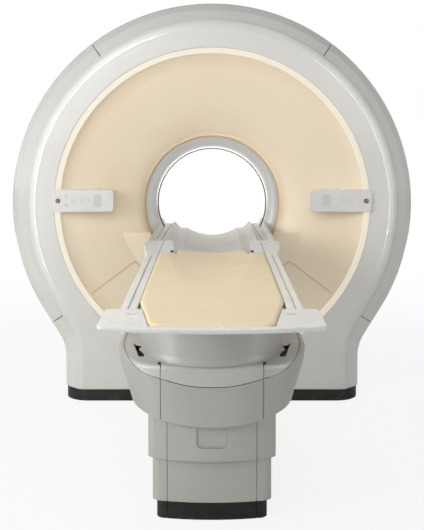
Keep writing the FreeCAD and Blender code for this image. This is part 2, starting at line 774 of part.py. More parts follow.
def bore_space():
    """The room inside the mouth, the seal and the liner, less the bridge's clearance."""
    gap = BRIDGE_CLEAR
    seal = WAIST_DEPTH + WAIST_LIP
    reach = BRIDGE_FAR - FRONT_Y
    slope = (LINER_REAR_RADIUS - WAIST_RADIUS) / (GANTRY_DEPTH - REAR_BELL_DEPTH - seal)
    return turned([
        (0, -900), (MOUTH_RADIUS - gap, -900), (MOUTH_RADIUS - gap, BELL_DEPTH - 12),
        (SEAL_RADIUS - gap, WAIST_DEPTH - 20), (SEAL_RADIUS - gap, seal + SEAL_WIDTH + 4),
        (WAIST_RADIUS - gap + slope * (reach - seal), reach + 5), (0, reach + 5),
    ])


def make_bridge():
    near = bridge_section(BRIDGE_NEAR, 216.5, 285.0, 14.0, CURB_NEAR)
    far = bridge_section(BRIDGE_FAR, 210.2, 265.5, 12.0, CURB_FAR)
    body = Part.makeLoft([near, far], True, True).common(bore_space())
    slot = prism_z([
        (SLOT_NEAR - SLOT_WIDTH, BRIDGE_NEAR - 1), (SLOT_NEAR, BRIDGE_NEAR - 1),
        (SLOT_FAR, BRIDGE_FAR + 1), (SLOT_FAR - SLOT_WIDTH, BRIDGE_FAR + 1),
    ], SHELF_TOP - SLOT_DEPTH, SHELF_TOP + 40)
    body = body.cut(both_sides(slot))
    start = WAIST_DEPTH + 24
    end = BRIDGE_FAR - FRONT_Y - 10
    slope = (LINER_REAR_RADIUS - WAIST_RADIUS) / (GANTRY_DEPTH - REAR_BELL_DEPTH - 12 - 240)
    foot = turned([
        (BRIDGE_UNDER_RADIUS - 8, start), (WAIST_RADIUS + slope * (start - 240) - 0.4, start),
        (WAIST_RADIUS + slope * (end - 240) - 0.4, end), (BRIDGE_UNDER_RADIUS - 8, end),
    ])
    keep("bridge", body.fuse(foot.common(sector(-118, -62))))


# ---------------------------------------------------------------- table top
def make_t_plate():
    """The wide plate at the foot end, open round the pad, with two strap slots and two legs."""
    bottom = TABLE_TOP - PLATE_THICKNESS
    side = PLATE_FRONT + PLATE_BOW
    corner = [Vector(PLATE_HALF, side, bottom), Vector(0, PLATE_FRONT, bottom),
              Vector(-PLATE_HALF, side, bottom)]
    edges = [Part.Arc(*corner).toShape()]
    edges += lines([corner[2], Vector(-PLATE_HALF, PLATE_REAR, bottom),
                    Vector(PLATE_HALF, PLATE_REAR, bottom), corner[0]])
    plate = prism(Part.Wire(edges), Vector(0, 0, PLATE_THICKNESS))
    posts = [e for e in plate.Edges if is_post(e)]
    plate = plate.makeFillet(28.0, [e for e in posts if e.CenterOfMass.y < PLATE_REAR - 1])
    plate = plate.makeFillet(12.0, [e for e in plate.Edges if is_post(e) and
                                    e.CenterOfMass.y > PLATE_REAR - 1])
    plate = plate.makeFillet(3.5, [e for e in plate.Edges if e.BoundBox.ZMin > TABLE_TOP - 0.01])
    plate = plate.makeFillet(7.0, [e for e in plate.Edges if e.BoundBox.ZMax < bottom + 0.01])
    plate = plate.cut(pad_opening(bottom - 1, TABLE_TOP + 1))
    leg = box(BEAM_HALF - 16, BEAM_HALF, BEAM_NOSE + 2, PLATE_REAR - 3, BEAM_TOP, bottom + 1)
    plate = plate.fuse([leg, mirrored(leg)])
    keep("t_plate", plate.cut(both_sides(strap_slot(bottom))))


def pad_opening(z0, z1):
    """The tapered opening round the pad, with small reliefs at its corners."""
    gap = PAD_GAP
    near, y0 = MATTRESS_NEAR_HALF + gap, MATTRESS_NEAR - gap
    slope = (MATTRESS_HALF - MATTRESS_NEAR_HALF) / (MATTRESS_TAPER_START - MATTRESS_NEAR)
    y1 = PLATE_REAR + 20
    far = near + slope * (y1 - MATTRESS_NEAR)
    opening = prism_z([(-near, y0), (near, y0), (far, y1), (-far, y1)], z0, z1)
    relief = Part.makeCylinder(5, z1 - z0, Vector(near - 2, y0 + 4, z0))
    return opening.fuse(both_sides(relief))


def strap_slot(bottom):
    """An oval strap slot and two small drillings in a wing."""
    y = PLATE_REAR - 80
    slot = box(213, 246, y - 6, y + 6, bottom - 1, TABLE_TOP + 5)
    slot = slot.makeFillet(5.9, [e for e in slot.Edges if is_post(e)])
    hole = Part.makeCylinder(3.5, 30, Vector(215, PLATE_REAR - 13, bottom - 1))
    return slot.fuse(hole).fuse(hole.translated(Vector(31, 0, 0)))


def is_post(edge):
    return abs(edge.tangentAt(edge.FirstParameter).z) > 0.99 and edge.BoundBox.ZLength > 1


def mattress_outline(z):
    """Half tapers at the foot end and a stepped, hollow head end."""
    half, near = MATTRESS_HALF, MATTRESS_NEAR_HALF
    head = BOARD_FAR - BOARD_LIP
    step = SHOE_NEAR - 6
    inner = SHOE_INNER_NEAR - 5
    points = [(near, MATTRESS_NEAR), (half, MATTRESS_TAPER_START), (half, step), (inner, step),
              (inner, head)]
    right = [Vector(x, y, z) for x, y in points]
    left = [Vector(-x, y, z) for x, y in points]
    edges = lines(right)
    edges += [Part.Arc(right[-1], Vector(0, head - PAD_BOW, z), left[-1]).toShape()]
    edges += lines(left[::-1] + [right[0]])
    return Part.Wire(edges)


def dish(half, sag, top, grow=0.0):
    """A long shallow hollow along the board, nothing at its start and full at the head end."""
    radius = (half**2 + sag**2) / (2 * sag)
    length = BOARD_FAR - DISH_START
    body = Part.makeCylinder(radius + grow, 2 * length, Vector(0, -length / 2, radius), Y_AXIS)
    body.rotate(Vector(0, 0, 0), Vector(1, 0, 0), -math.degrees(math.atan2(sag, length)))
    return body.translated(Vector(0, DISH_START, top))


def make_mattress():
    """A thin pad with a hollow top, drawn-in sides and rounded corners, bedded in the board's dish."""
    bottom = BOARD_TOP + FIT
    low = BOARD_TOP - BOARD_DISH - 5
    body = prism(mattress_outline(low), Vector(0, 0, MATTRESS_TOP - low))
    bed = box(-FAR, FAR, -2 * FAR, FAR, 0, bottom).cut(dish(BOARD_DISH_HALF, BOARD_DISH, BOARD_TOP, -FIT))
    body = body.cut(bed)
    near = [e for e in body.Edges if is_post(e) and e.CenterOfMass.y < MATTRESS_NEAR + 1]
    body = body.makeFillet(34.0, near)
    body = body.makeFillet(16.0, [e for e in body.Edges if is_post(e) and e.CenterOfMass.y > -3000])
    rim = [e for e in body.Edges if e.BoundBox.ZMin > MATTRESS_TOP - 0.01]
    body = body.makeFillet(5.0, rim)
    keep("mattress", body.cut(dish(PAD_DISH_HALF, PAD_DISH, MATTRESS_TOP)))


def board_section(y, length):
    half = [
        (BOARD_HALF, BOARD_TOP), (BOARD_HALF, BOARD_EDGE_UNDER), (GLIDE_INNER - 0.5, BOARD_EDGE_UNDER),
        (BOARD_HALF - 44.0, BOARD_STEP), (BOARD_HALF - 78.0, BOARD_STEP),
    ]
    right = [Vector(x, y, z) for x, z in half]
    left = [Vector(-x, y, z) for x, z in half]
    edges = lines(right)
    edges += [Part.Arc(right[-1], Vector(0, y, BOARD_KEEL), left[-1]).toShape()]
    edges += lines(left[::-1] + [right[0]])
    return prism(Part.Wire(edges), Vector(0, length, 0))


def make_board():
    """The sliding board: a keeled, dished composite section that runs out into a flat foot."""
    keel = board_section(BOARD_KEEL_START, BOARD_FAR - BOARD_KEEL_START)
    inner = GLIDE_INNER - 3
    flat = box(-inner, inner, BEAM_NOSE + 30, BOARD_KEEL_START, 912, BOARD_TOP)
    wings = box(-BOARD_HALF, BOARD_HALF, MATTRESS_NEAR - 3, BOARD_KEEL_START, BOARD_EDGE_UNDER, BOARD_TOP)
    bevel = prism(polygon([
        Vector(-FAR, MATTRESS_NEAR - 4, BOARD_TOP - 1), Vector(-FAR, MATTRESS_NEAR - 4, 900),
        Vector(-FAR, MATTRESS_NEAR + 62, BOARD_EDGE_UNDER),
    ]), Vector(2 * FAR, 0, 0))
    board = keel.fuse([flat, wings.cut(bevel)])
    notch = box(SHOE_INNER_NEAR - 4, BOARD_HALF + 5, SHOE_NEAR, FAR, 0, FAR)
    board = board.cut([dish(BOARD_DISH_HALF, BOARD_DISH, BOARD_TOP), both_sides(notch)])
    keep("table_board", board.fuse(board_lip()))


def board_lip():
    """The lip that stands up round the pad's hollow head end."""
    half = SHOE_INNER_NEAR - 4
    head = BOARD_FAR - BOARD_LIP + FIT
    pad_end = Part.Arc(Vector(half, head, 0), Vector(0, head - PAD_BOW, 0), Vector(-half, head, 0))
    edges = [pad_end.toShape()]
    edges += lines([Vector(-half, head, 0), Vector(-half, BOARD_FAR, 0), Vector(half, BOARD_FAR, 0),
                    Vector(half, head, 0)])
    lip = prism(Part.Wire(edges), Vector(0, 0, FAR))
    lip = lip.common(box(-FAR, FAR, -FAR, FAR, BOARD_TOP - BOARD_DISH - 5, MATTRESS_TOP))
    return lip.cut(dish(PAD_DISH_HALF, PAD_DISH, MATTRESS_TOP))


def make_shoes():
    """Rounded guide shoes at the board's head end, each with a locating stud."""
    z0 = BOARD_EDGE_UNDER + FIT
    points = [
        (SHOE_INNER_NEAR, SHOE_NEAR + FIT), (BOARD_HALF, SHOE_NEAR + FIT),
        (BOARD_HALF, SHOE_FAR), (SHOE_INNER_FAR, SHOE_FAR),
    ]
    shoe = prism_z(points, z0, TABLE_TOP)
    posts = [e for e in shoe.Edges if is_post(e)]
    shoe = shoe.makeFillet(12.0, posts)
    shoe = shoe.makeFillet(3.0, [e for e in shoe.Edges if e.BoundBox.ZMin > TABLE_TOP - 0.01])
    stud = Part.makeCylinder(7.0, TABLE_TOP + 9 - z0, Vector(SHOE_INNER_NEAR + 11, SHOE_NEAR + 13, z0))
    stud = stud.makeChamfer(1.5, [e for e in stud.Edges if e.BoundBox.ZMin > TABLE_TOP + 8])
    keep("head_shoes", both_sides(shoe.fuse(stud)))


def make_rails():
    """Side rails with an accessory groove, and the wider end brackets beside the bridge."""
    inner = BOARD_HALF + RAIL_GAP
    z0 = BEAM_TOP + FIT
    body = box(inner, RAIL_OUTER, PLATE_REAR + FIT, SHOE_NEAR - FIT, z0, TABLE_TOP)
    tops = [e for e in body.Edges if e.BoundBox.ZMin > TABLE_TOP - 0.01 and e.BoundBox.YLength > 100]
    body = body.makeFillet(5.0, tops)
    x = (inner + RAIL_OUTER) / 2
    groove = box(x - RAIL_GROOVE / 2, x + RAIL_GROOVE / 2, -FAR - 500, SHOE_NEAR - 60,
                 TABLE_TOP - RAIL_GROOVE_DEPTH, TABLE_TOP + 5)
    body = body.cut(groove)
    keep("side_rails", both_sides(body))
    points = [
        (inner, SHOE_NEAR), (RAIL_OUTER + 3, SHOE_NEAR), (BRACKET_OUTER - 8, SHOE_NEAR + 190),
        (BRACKET_OUTER, SHOE_NEAR + 300), (BRACKET_OUTER, SHOE_FAR), (inner, SHOE_FAR),
    ]
    bracket = prism_z(points, z0, TABLE_TOP)
    corner = [e for e in bracket.Edges if is_post(e) and e.CenterOfMass.x > BRACKET_OUTER - 15
              and e.CenterOfMass.y > SHOE_FAR - 5]
    bracket = bracket.makeFillet(34.0, corner)
    rim = [e for e in bracket.Edges if e.BoundBox.ZMin > TABLE_TOP - 0.01]
    bracket = bracket.makeFillet(4.0, rim)
    keep("end_brackets", both_sides(bracket))


# ---------------------------------------------------------------- table frame
def beam_hull(grow, y0=BEAM_NOSE, y1=BEAM_FAR):
    """The beam's outer form: a hull section under a side view that tapers to a thin nose."""
    g = grow
    section = prism_y([
        (BEAM_HALF + g, BEAM_TOP + g), (BEAM_HALF + g, 875), (235 + g, 842), (190 + g, BEAM_BOTTOM - g),
        (-190 - g, BEAM_BOTTOM - g), (-235 - g, 842), (-BEAM_HALF - g, 875), (-BEAM_HALF - g, BEAM_TOP + g),
    ], y0 - g, y1 + g)
    side = prism(polygon([
        Vector(-FAR, BEAM_NOSE - g, BEAM_TOP + g + 1), Vector(-FAR, BEAM_NOSE - g, BEAM_TOP - 9 - g),
        Vector(-FAR, BEAM_DEEP_START, BEAM_BOTTOM - g), Vector(-FAR, y1 + g, BEAM_BOTTOM - g),
        Vector(-FAR, y1 + g, BEAM_TOP + g + 1),
    ]), Vector(2 * FAR, 0, 0))
    return section.common(side)


def make_beam():
    hull = beam_hull(0)
    drop = 5.0
    edge = GLIDE_INNER - 3
    half = [(edge, BEAM_TOP + 20), (edge, BEAM_TOP), (BOARD_HALF - 44.0, BOARD_STEP - drop),
            (BOARD_HALF - 78.0, BOARD_STEP - drop)]
    y = BOARD_KEEL_START - 15
    right = [Vector(x, y, z) for x, z in half]
    left = [Vector(-x, y, z) for x, z in half]
    edges = lines(right)
    edges += [Part.Arc(right[-1], Vector(0, y, BOARD_KEEL - drop), left[-1]).toShape()]
    edges += lines(left[::-1] + [right[0]])
    trough = prism(Part.Wire(edges), Vector(0, 2000, 0))
    duct = box(-150, 150, BEAM_DEEP_START + 60, BEAM_FAR + 10, BEAM_BOTTOM + BEAM_WALL, 850)
    side_duct = prism_y([(200, 845), (225, 850), (250, 882), (250, 895), (215, 895), (196, 880)],
                        -2950, BEAM_FAR + 10)
    keep("table_beam", hull.cut([trough, duct, side_duct, mirrored(side_duct)]))
    glide = box(GLIDE_INNER, BOARD_HALF, BEAM_NOSE + 10, BEAM_FAR, BEAM_TOP, GLIDE_TOP)
    keep("glide_strips", both_sides(glide))


def bowed_outline(half, front, rear, radius, z):
    """A rectangle with a bowed front."""
    sag = radius - math.sqrt(radius**2 - half**2)
    edges = [Part.Arc(Vector(-half, front + sag, z), Vector(0, front, z),
                      Vector(half, front + sag, z)).toShape()]
    edges += lines([Vector(half, front + sag, z), Vector(half, rear, z), Vector(-half, rear, z),
                    Vector(-half, front + sag, z)])
    return Part.Wire(edges)


def bowed_prism(half, front, rear, radius, corner, z0, z1):
    body = prism(bowed_outline(half, front, rear, radius, z0), Vector(0, 0, z1 - z0))
    return body.makeFillet(corner, [e for e in body.Edges if is_post(e)])


def panelled(name, shell, lap, seam_half):
    """Split a shell into a front panel and the cover that wraps round the sides and the back.

    The lap is a second skin inside the shell, its outer face a fitting gap behind the panel.
    """
    front = box(-seam_half, seam_half, -FAR, COLUMN_Y, -FAR, FAR)
    gap = box(-seam_half - SEAM, seam_half + SEAM, -FAR, COLUMN_Y, -FAR, FAR)
    keep(name + "_front", shell.common(front))
    loose, tight = lap
    edge = seam_half + SEAM
    band = box(seam_half - LAP_WIDTH, edge + 1, -FAR, COLUMN_Y, -FAR, FAR)
    root = box(edge, edge + LAP_WIDTH, -FAR, COLUMN_Y, -FAR, FAR)
    flange = loose.common(both_sides(band)).fuse(tight.common(both_sides(root)))
    keep(name + "_wrap", shell.cut(gap).fuse(flange))


def stage_body(grow, half, front, rear, radius, z0, z1):
    """One telescoping cover's plan, all faces moved out by grow."""
    return bowed_prism(half + grow, front - grow, rear + grow, radius + grow, PEDESTAL_CORNER + grow,
                       z0, z1)


def stage_shell(half, front, rear, radius, z0, z1, lip=0.0):
    """A telescoping cover with thin walls and an open top, and the laps behind its seams."""
    plan = (half, front, rear, radius)
    w = PANEL_WALL

    def skin(outer, inner):
        return stage_body(outer, *plan, z0, z1).cut(stage_body(inner, *plan, z0 - 1, z1 + 1))

    shell = skin(0, -w)
    if lip:
        floor = stage_body(0, *plan, z0, z0 + w).cut(stage_body(-w - lip, *plan, z0 - 1, z1))
        shell = shell.fuse(floor)
    clear = stage_body(50, *plan, z0 - 1, z0 + w + FIT) if lip else None
    laps = [skin(-w - FIT, -w - LAP), skin(-w, -w - LAP)]
    if clear:
        laps = [laps[0].cut(clear), laps[1]]
    return shell, laps


def make_pedestal_covers():
    rear = PEDESTAL_REAR
    shell, lap = stage_shell(BASE_HALF, PEDESTAL_FRONT, rear, FRONT_RADIUS, 0, BASE_TOP)
    panelled("kick_panel", shell, lap, PANEL_SEAM_HALF)
    shell, lap = stage_shell(LOWER_HALF, LOWER_FRONT, rear + STAGE_REAR_STEP, FRONT_RADIUS,
                             BASE_TOP + FIT, LOWER_TOP, 14)
    panelled("lower_cover", shell, lap, PANEL_SEAM_HALF)
    mid_rear = rear + 2 * STAGE_REAR_STEP
    shell, lap = stage_shell(MID_HALF, MID_FRONT, mid_rear, MID_FRONT_RADIUS, MID_BOTTOM, MID_TOP)
    hole, cup = grip_recess(mid_rear)
    panelled("mid_cover", shell.cut(hole).fuse(cup), lap, PANEL_SEAM_HALF)
    inset = PANEL_WALL + LAP + FIT
    keep("base_plate", stage_body(-inset, BASE_HALF, PEDESTAL_FRONT, rear, FRONT_RADIUS, 0, BASE_PLATE))


def grip_recess(mid_rear):
    """The finger recess near the lower edge of the middle cover, and its cup."""
    half, z0 = GRIP_HALF, GRIP_BOTTOM
    front = MID_FRONT
    hole = box(-half, half, front - 20, front + 26, z0, z0 + 72)
    corners = [e for e in hole.Edges if abs(e.tangentAt(0).y) > 0.99 and e.CenterOfMass.z < z0 + 20]
    hole = hole.makeFillet(22.0, corners)
    tray = box(-half - 6, half + 6, front + 0.5, front + 11, z0 - 8, z0 + 80)
    pocket = box(-half - 2, half + 2, front - 20, front + 8, z0 - 4, z0 + 76)
    within = stage_body(0, MID_HALF, front, mid_rear, MID_FRONT_RADIUS, 0, 600)
    return hole, tray.cut(pocket).common(within)


def column_tube(stage, z0, z1):
    """One of three nested column tubes; stage 0 is the outermost."""
    return column_box(stage, 0, z0, z1).cut(column_box(stage, -COLUMN_WALL, z0 - 1, z1 + 1))


def column_box(stage, grow, z0, z1):
    step = stage * (COLUMN_WALL + COLUMN_GAP) - grow
    hx, hy = COLUMN_HALF_X - step, COLUMN_HALF_Y - step
    return box(-hx, hx, COLUMN_Y - hy, COLUMN_Y + hy, z0, z1)


def make_column():
    bottom = BASE_PLATE + COLUMN_FLOOR_GAP
    keep("column_outer", column_tube(0, BASE_PLATE, LOWER_TOP - 5))
    middle = column_tube(1, bottom + MID_TRAVEL, MID_TOP)
    inset = PANEL_WALL + LAP + FIT
    mid_rear = PEDESTAL_REAR + 2 * STAGE_REAR_STEP
    flange = stage_body(-inset, MID_HALF, MID_FRONT, mid_rear, MID_FRONT_RADIUS, MID_TOP - 12, MID_TOP - 6)
    # the flange stays behind the cup of the finger recess
    flange = flange.common(box(-FAR, FAR, MID_FRONT + 14, FAR, 0, FAR))
    keep("column_middle", middle.fuse(flange.cut(column_box(1, 0, 0, FAR))))
    keep("column_inner", column_tube(2, bottom + LIFT_TRAVEL, YOKE_BOTTOM))
    keep("lift_motor", Part.makeCylinder(45, 200, Vector(0, COLUMN_Y, BASE_PLATE)))


def shroud_outline(half, front, z, inset):
    """Plan of the lift shroud: full front, straight sides, rounded rear."""
    fullness = 0.70
    half = half - inset
    front = front + inset
    widest = front + SHROUD_REACH - inset
    rear = SHROUD_REAR_START + SHROUD_REAR_REACH - inset

    def quarter(side, tip, line):
        step = (tip - line) * fullness
        return [Vector(0, tip, z), Vector(side * half * fullness, tip, z),
                Vector(side * half, line + step, z), Vector(side * half, line, z)]

    edges = [
        bezier(*quarter(1, front, widest)),
        Part.makeLine(Vector(half, widest, z), Vector(half, SHROUD_REAR_START, z)),
        bezier(*quarter(1, rear, SHROUD_REAR_START)[::-1]),
        bezier(*quarter(-1, rear, SHROUD_REAR_START)),
        Part.makeLine(Vector(-half, SHROUD_REAR_START, z), Vector(-half, widest, z)),
        bezier(*quarter(-1, front, widest)[::-1]),
    ]
    return Part.Wire(edges)


# height and half width of the lift shroud
SHROUD_PLAN = ((340.0, 298.0), (400.0, 311.5), (470.0, 332.0), (560.0, 361.0), (SHROUD_TOP, 371.0))


def deck_region(drop):
    """What lies below the shroud's deck, which is low at the front and rises along the sides."""
    x, low, high = -FAR, DECK_TOP - drop, DECK_REAR - drop
    ease = 60.0
    rise = bezier(Vector(x, DECK_RISE_START, low), Vector(x, DECK_RISE_START + ease, low),
                  Vector(x, DECK_RISE_END - ease, high), Vector(x, DECK_RISE_END, high))
    edges = lines([Vector(x, -FAR, low), Vector(x, DECK_RISE_START, low)]) + [rise]
    edges += lines([Vector(x, DECK_RISE_END, high), Vector(x, 0, high), Vector(x, 0, 0),
                    Vector(x, -FAR, 0), Vector(x, -FAR, low)])
    return prism(Part.Wire(edges), Vector(2 * FAR, 0, 0))


def shroud_body(inset, drop=0.0, sink=0.0):
    """The shroud's full form with its rolled upper edge."""
    wires = []
    for index, (z, half) in enumerate(SHROUD_PLAN):
        z = z - (sink if index == 0 else 0.0)
        wires.append(shroud_outline(half, SHROUD_FRONT, z, inset))
    body = Part.makeLoft(wires, True, True).common(deck_region(drop))
    rim = [e for e in body.Edges if e.BoundBox.ZMin > DECK_TOP - drop - 0.1 and not spans_deck(e)]
    return body.makeFillet(SHROUD_ROLL - inset, rim)


def spans_deck(edge):
    """Whether an edge only joins two faces of the deck."""
    return edge.BoundBox.XLength > 100 and edge.BoundBox.YLength < 0.1


def smile_region(grow):
    """What lies above the bowed seam between shroud and bowl."""
    y = -FAR
    half = [(x + grow, z) if x > 300 else (x, z - grow) for x, z in SMILE]
    points = [Vector(-x, y, z) for x, z in half[:0:-1]] + [Vector(x, y, z) for x, z in half]
    seam = Part.BSplineCurve()
    seam.interpolate(points)
    edges = [seam.toShape()]
    edges += lines([points[-1], Vector(points[-1].x, y, 900), Vector(points[0].x, y, 900), points[0]])
    return prism(Part.Wire(edges), Vector(0, BOWL_BACK + grow - y, 0))


def make_lift_shroud():
    outer = shroud_body(0)
    w = SHROUD_WALL
    inner = shroud_body(w, w, 1)
    bottom = cylinder_y(SHROUD_BOTTOM_RADIUS, -FAR, FAR, z=SHROUD_BOTTOM + SHROUD_BOTTOM_RADIUS)
    shell = outer.cut(inner).common(bottom)
    hole = cradle_body(-0.5)
    laps = [inner.common(bottom).cut(shroud_body(w + LAP, w + LAP, 2)),
            shroud_body(w + FIT, w + FIT, 1).common(bottom).cut(shroud_body(w + LAP, w + LAP, 2))]
    below = box(-FAR, FAR, -FAR, FAR, 0, CARRIER_TOP - CARRIER_PLATE - FIT)
    laps = [lap.common(below) for lap in laps]
    region = smile_region(SEAM / 2)
    wrap_laps = [laps[1], laps[0].cut(region)]
    panelled("shroud", shell.cut(region).cut(hole), wrap_laps, SHROUD_SEAM_HALF)
    bowl = shell.common(smile_region(-SEAM / 2)).cut(hole)
    bowl = bowl.cut([both_sides(corner_slot()), both_sides(release_notch())])
    half = SHROUD_SEAM_HALF
    keep("bowl_front", bowl.common(box(-half, half, -FAR, COLUMN_Y, 0, FAR)))
    side = bowl.common(box(half + SEAM, FAR, -FAR, FAR, 0, FAR))
    keep("bowl_sides", both_sides(side))


def corner_slot():
    """The opening in the deck beside the cradle's front corner, with its tab."""
    points = [
        (313, -2167), (294, -2182), (276, -2191), (266, -2207), (276, -2210), (281, -2221),
        (269, -2238), (254, -2266), (262, -2281), (280, -2279), (290, -2240), (301, -2200),
    ]
    return prism_z(points, DECK_TOP - 30, DECK_REAR + 15)


def release_notch():
    """The dark notch beside the front panel's seam, from the rolled edge to the cradle."""
    return box(SHROUD_SEAM_HALF, SHROUD_SEAM_HALF + 12, SHROUD_FRONT + 41, SHROUD_FRONT + 82,
               DECK_TOP - 30, DECK_REAR)


# height, half width and front of the cradle, which flares into a lip at the bottom
CRADLE_PLAN = (
    (CARRIER_TOP + FIT, 256.0, -2386.0), (DECK_TOP, 261.5, -2404.0), (602.0, 261.5, -2405.0),
    (622.0, 265.0, -2402.0), (690.0, 278.0, -2403.0), (CRADLE_TOP, 290.0, -2412.0),
)
CRADLE_SAG = 168.0
CRADLE_REAR = -1600.0


def cradle_outline(half, front, z):
    """The cradle's plan: a bowed front that meets straight sides at a firm corner."""
    side = front + CRADLE_SAG
    edges = [Part.Arc(Vector(-half, side, z), Vector(0, front, z), Vector(half, side, z)).toShape()]
    edges += lines([Vector(half, side, z), Vector(half, CRADLE_REAR, z), Vector(-half, CRADLE_REAR, z),
                    Vector(-half, side, z)])
    return Part.Wire(edges)


def cradle_body(inset, extra=0.0):
    wires = []
    last = len(CRADLE_PLAN) - 1
    for index, (z, half, front) in enumerate(CRADLE_PLAN):
        shift = extra if index == last else -extra if index == 0 else 0.0
        wires.append(cradle_outline(half - inset, front + inset, z + shift))
    return Part.makeLoft(wires, True, True)


def make_cradle():
    shell = cradle_body(0).cut(cradle_body(SHROUD_WALL, 1))
    keep("cradle", shell.cut(beam_hull(FIT)))


def make_yoke():
    """The welded yoke between the column and the beam, and the plate that carries the shroud."""
    y0, y1 = COLUMN_Y - 170, COLUMN_Y + 170
    plate = box(-150, 150, y0, y1, YOKE_BOTTOM, YOKE_BOTTOM + YOKE_PLATE)
    wall = box(138, 150, y0, y1, YOKE_BOTTOM, BEAM_BOTTOM)
    carrier = shroud_body(SHROUD_WALL + FIT, SHROUD_WALL + FIT, 1)
    carrier = carrier.common(box(-FAR, FAR, -FAR, FAR, CARRIER_TOP - CARRIER_PLATE, CARRIER_TOP))
    carrier = carrier.cut(column_box(2, FIT, 0, FAR))
    below_slots = box(236, FAR, DECK_RISE_START, DECK_RISE_END + 70, 0, FAR)
    below_notch = box(SHROUD_SEAM_HALF - 2, SHROUD_SEAM_HALF + 16, -FAR, SHROUD_FRONT + 84, 0, FAR)
    carrier = carrier.cut([both_sides(below_slots), both_sides(below_notch)])
    hangers = [box(142, 148, y, y + 120, CARRIER_TOP - 1, YOKE_BOTTOM + 1) for y in (y0, y1 - 120)]
    body = plate.fuse([wall, mirrored(wall), carrier] + hangers + [mirrored(h) for h in hangers])
    keep("lift_yoke", body)
    keep("travel_motor", cylinder_y(42, -2110, -1950, 60, BEAM_BOTTOM - 42))


def make_floor_duct():
    keep("floor_duct", box(-DUCT_HALF, DUCT_HALF, PEDESTAL_REAR + FIT, FRONT_Y + PLINTH_INSET - FIT, 0,
                           DUCT_TOP))


def write_parts():
    os.makedirs("parts", exist_ok=True)
    for name, shape in PARTS.items():
        box_ = shape.BoundBox
        print(f"{name}: {len(shape.Solids)} solid, valid {shape.isValid()}, "
              f"x {box_.XMin:.1f}..{box_.XMax:.1f}, y {box_.YMin:.1f}..{box_.YMax:.1f}, "
              f"z {box_.ZMin:.1f}..{box_.ZMax:.1f}")
        shape.exportStep(f"parts/{name}.step")


def main():
    make_flank_covers()
    make_front_cover()
    make_rear_cover()
    make_light_ring()
    make_bell()
    make_mouth_ring()
    make_bore_liner()
    make_rear_bell()
    make_plinth()
    make_magnet()
    make_cover_hoops()
    make_control_panels()
    make_bridge()
    make_t_plate()
    make_board()
    make_mattress()
    make_shoes()
    make_rails()
    make_beam()
    make_pedestal_covers()
    make_column()
    make_cradle()
    make_lift_shroud()
    make_yoke()
    make_floor_duct()
    write_parts()


main()
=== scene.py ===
import logging
import math
from dataclasses import dataclass
from enum import Enum
from functools import lru_cache
from typing import Mapping, Optional, Sequence, Union

import bmesh
import bpy
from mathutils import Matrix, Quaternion, Vector


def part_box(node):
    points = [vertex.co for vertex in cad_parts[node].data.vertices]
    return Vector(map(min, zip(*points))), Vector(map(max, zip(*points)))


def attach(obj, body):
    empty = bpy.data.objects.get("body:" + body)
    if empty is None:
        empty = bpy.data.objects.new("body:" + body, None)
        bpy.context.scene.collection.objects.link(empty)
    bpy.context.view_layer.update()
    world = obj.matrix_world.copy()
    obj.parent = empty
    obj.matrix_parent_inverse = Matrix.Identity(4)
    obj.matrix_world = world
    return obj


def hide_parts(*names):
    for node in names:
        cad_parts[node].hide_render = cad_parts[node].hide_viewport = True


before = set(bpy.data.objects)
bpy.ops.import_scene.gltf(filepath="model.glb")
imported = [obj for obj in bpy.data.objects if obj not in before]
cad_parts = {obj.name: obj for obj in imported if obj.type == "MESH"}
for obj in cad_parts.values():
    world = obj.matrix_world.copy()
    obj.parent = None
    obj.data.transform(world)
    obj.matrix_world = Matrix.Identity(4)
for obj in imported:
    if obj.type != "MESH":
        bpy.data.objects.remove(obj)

LOG = logging.getLogger("mri_scanner")
BORE_HEIGHT_MM = 1045.0

Socket = bpy.types.NodeSocket
Feed = Union[float, Sequence[float], Socket]
Point = tuple[float, float, float]
Pair = tuple[float, float]
Outline = list[Pair]

# Inputs of a Mix node: the share, two numbers and two colours. MIXED is the colours' output.
SHARE, LOW, HIGH, FIRST, SECOND = 0, 2, 3, 6, 7
MIXED = 2


# ---- small helpers
def mm(value: float) -> float:
    """Turn millimetres into the metres of the scene."""
    return value / 1000.0


def per_mm(size: float) -> float:
    """Texture scale at which one cell of a pattern is `size` millimetres across."""
    return 1000.0 / size


def linear(colour: str) -> tuple[float, float, float, float]:
    """Turn an sRGB hex colour into linear red, green, blue and alpha.

    Args:
        colour: Six hex digits after a number sign.

    Returns:
        The colour as a node socket takes it.
    """
    channels = [int(colour[i:i + 2], 16) / 255.0 for i in (1, 3, 5)]
    red, green, blue = (
        c / 12.92 if c <= 0.04045 else ((c + 0.055) / 1.055) ** 2.4 for c in channels
    )
    return red, green, blue, 1.0


def add_node(
    tree: bpy.types.NodeTree,
    kind: str,
    feeds: Union[Sequence[Feed], Mapping[Union[str, int], Feed]] = (),
    **settings: object,
) -> bpy.types.Node:
    """Add a shader node with its settings and its links.

    Args:
        tree: The material's or world's node tree.
        kind: Node type without its "ShaderNode" prefix.
        feeds: Values or outputs that feed the inputs, in the inputs' order or by name or index.
        **settings: The node's own properties.

    Returns:
        The new node.
    """
    node = tree.nodes.new("ShaderNode" + kind)
    for name, value in settings.items():
        setattr(node, name, value)
    for key, value in feeds.items() if isinstance(feeds, Mapping) else enumerate(feeds):
        if isinstance(value, bpy.types.NodeSocket):
            tree.links.new(value, node.inputs[key])
        else:
            node.inputs[key].default_value = value
    return node


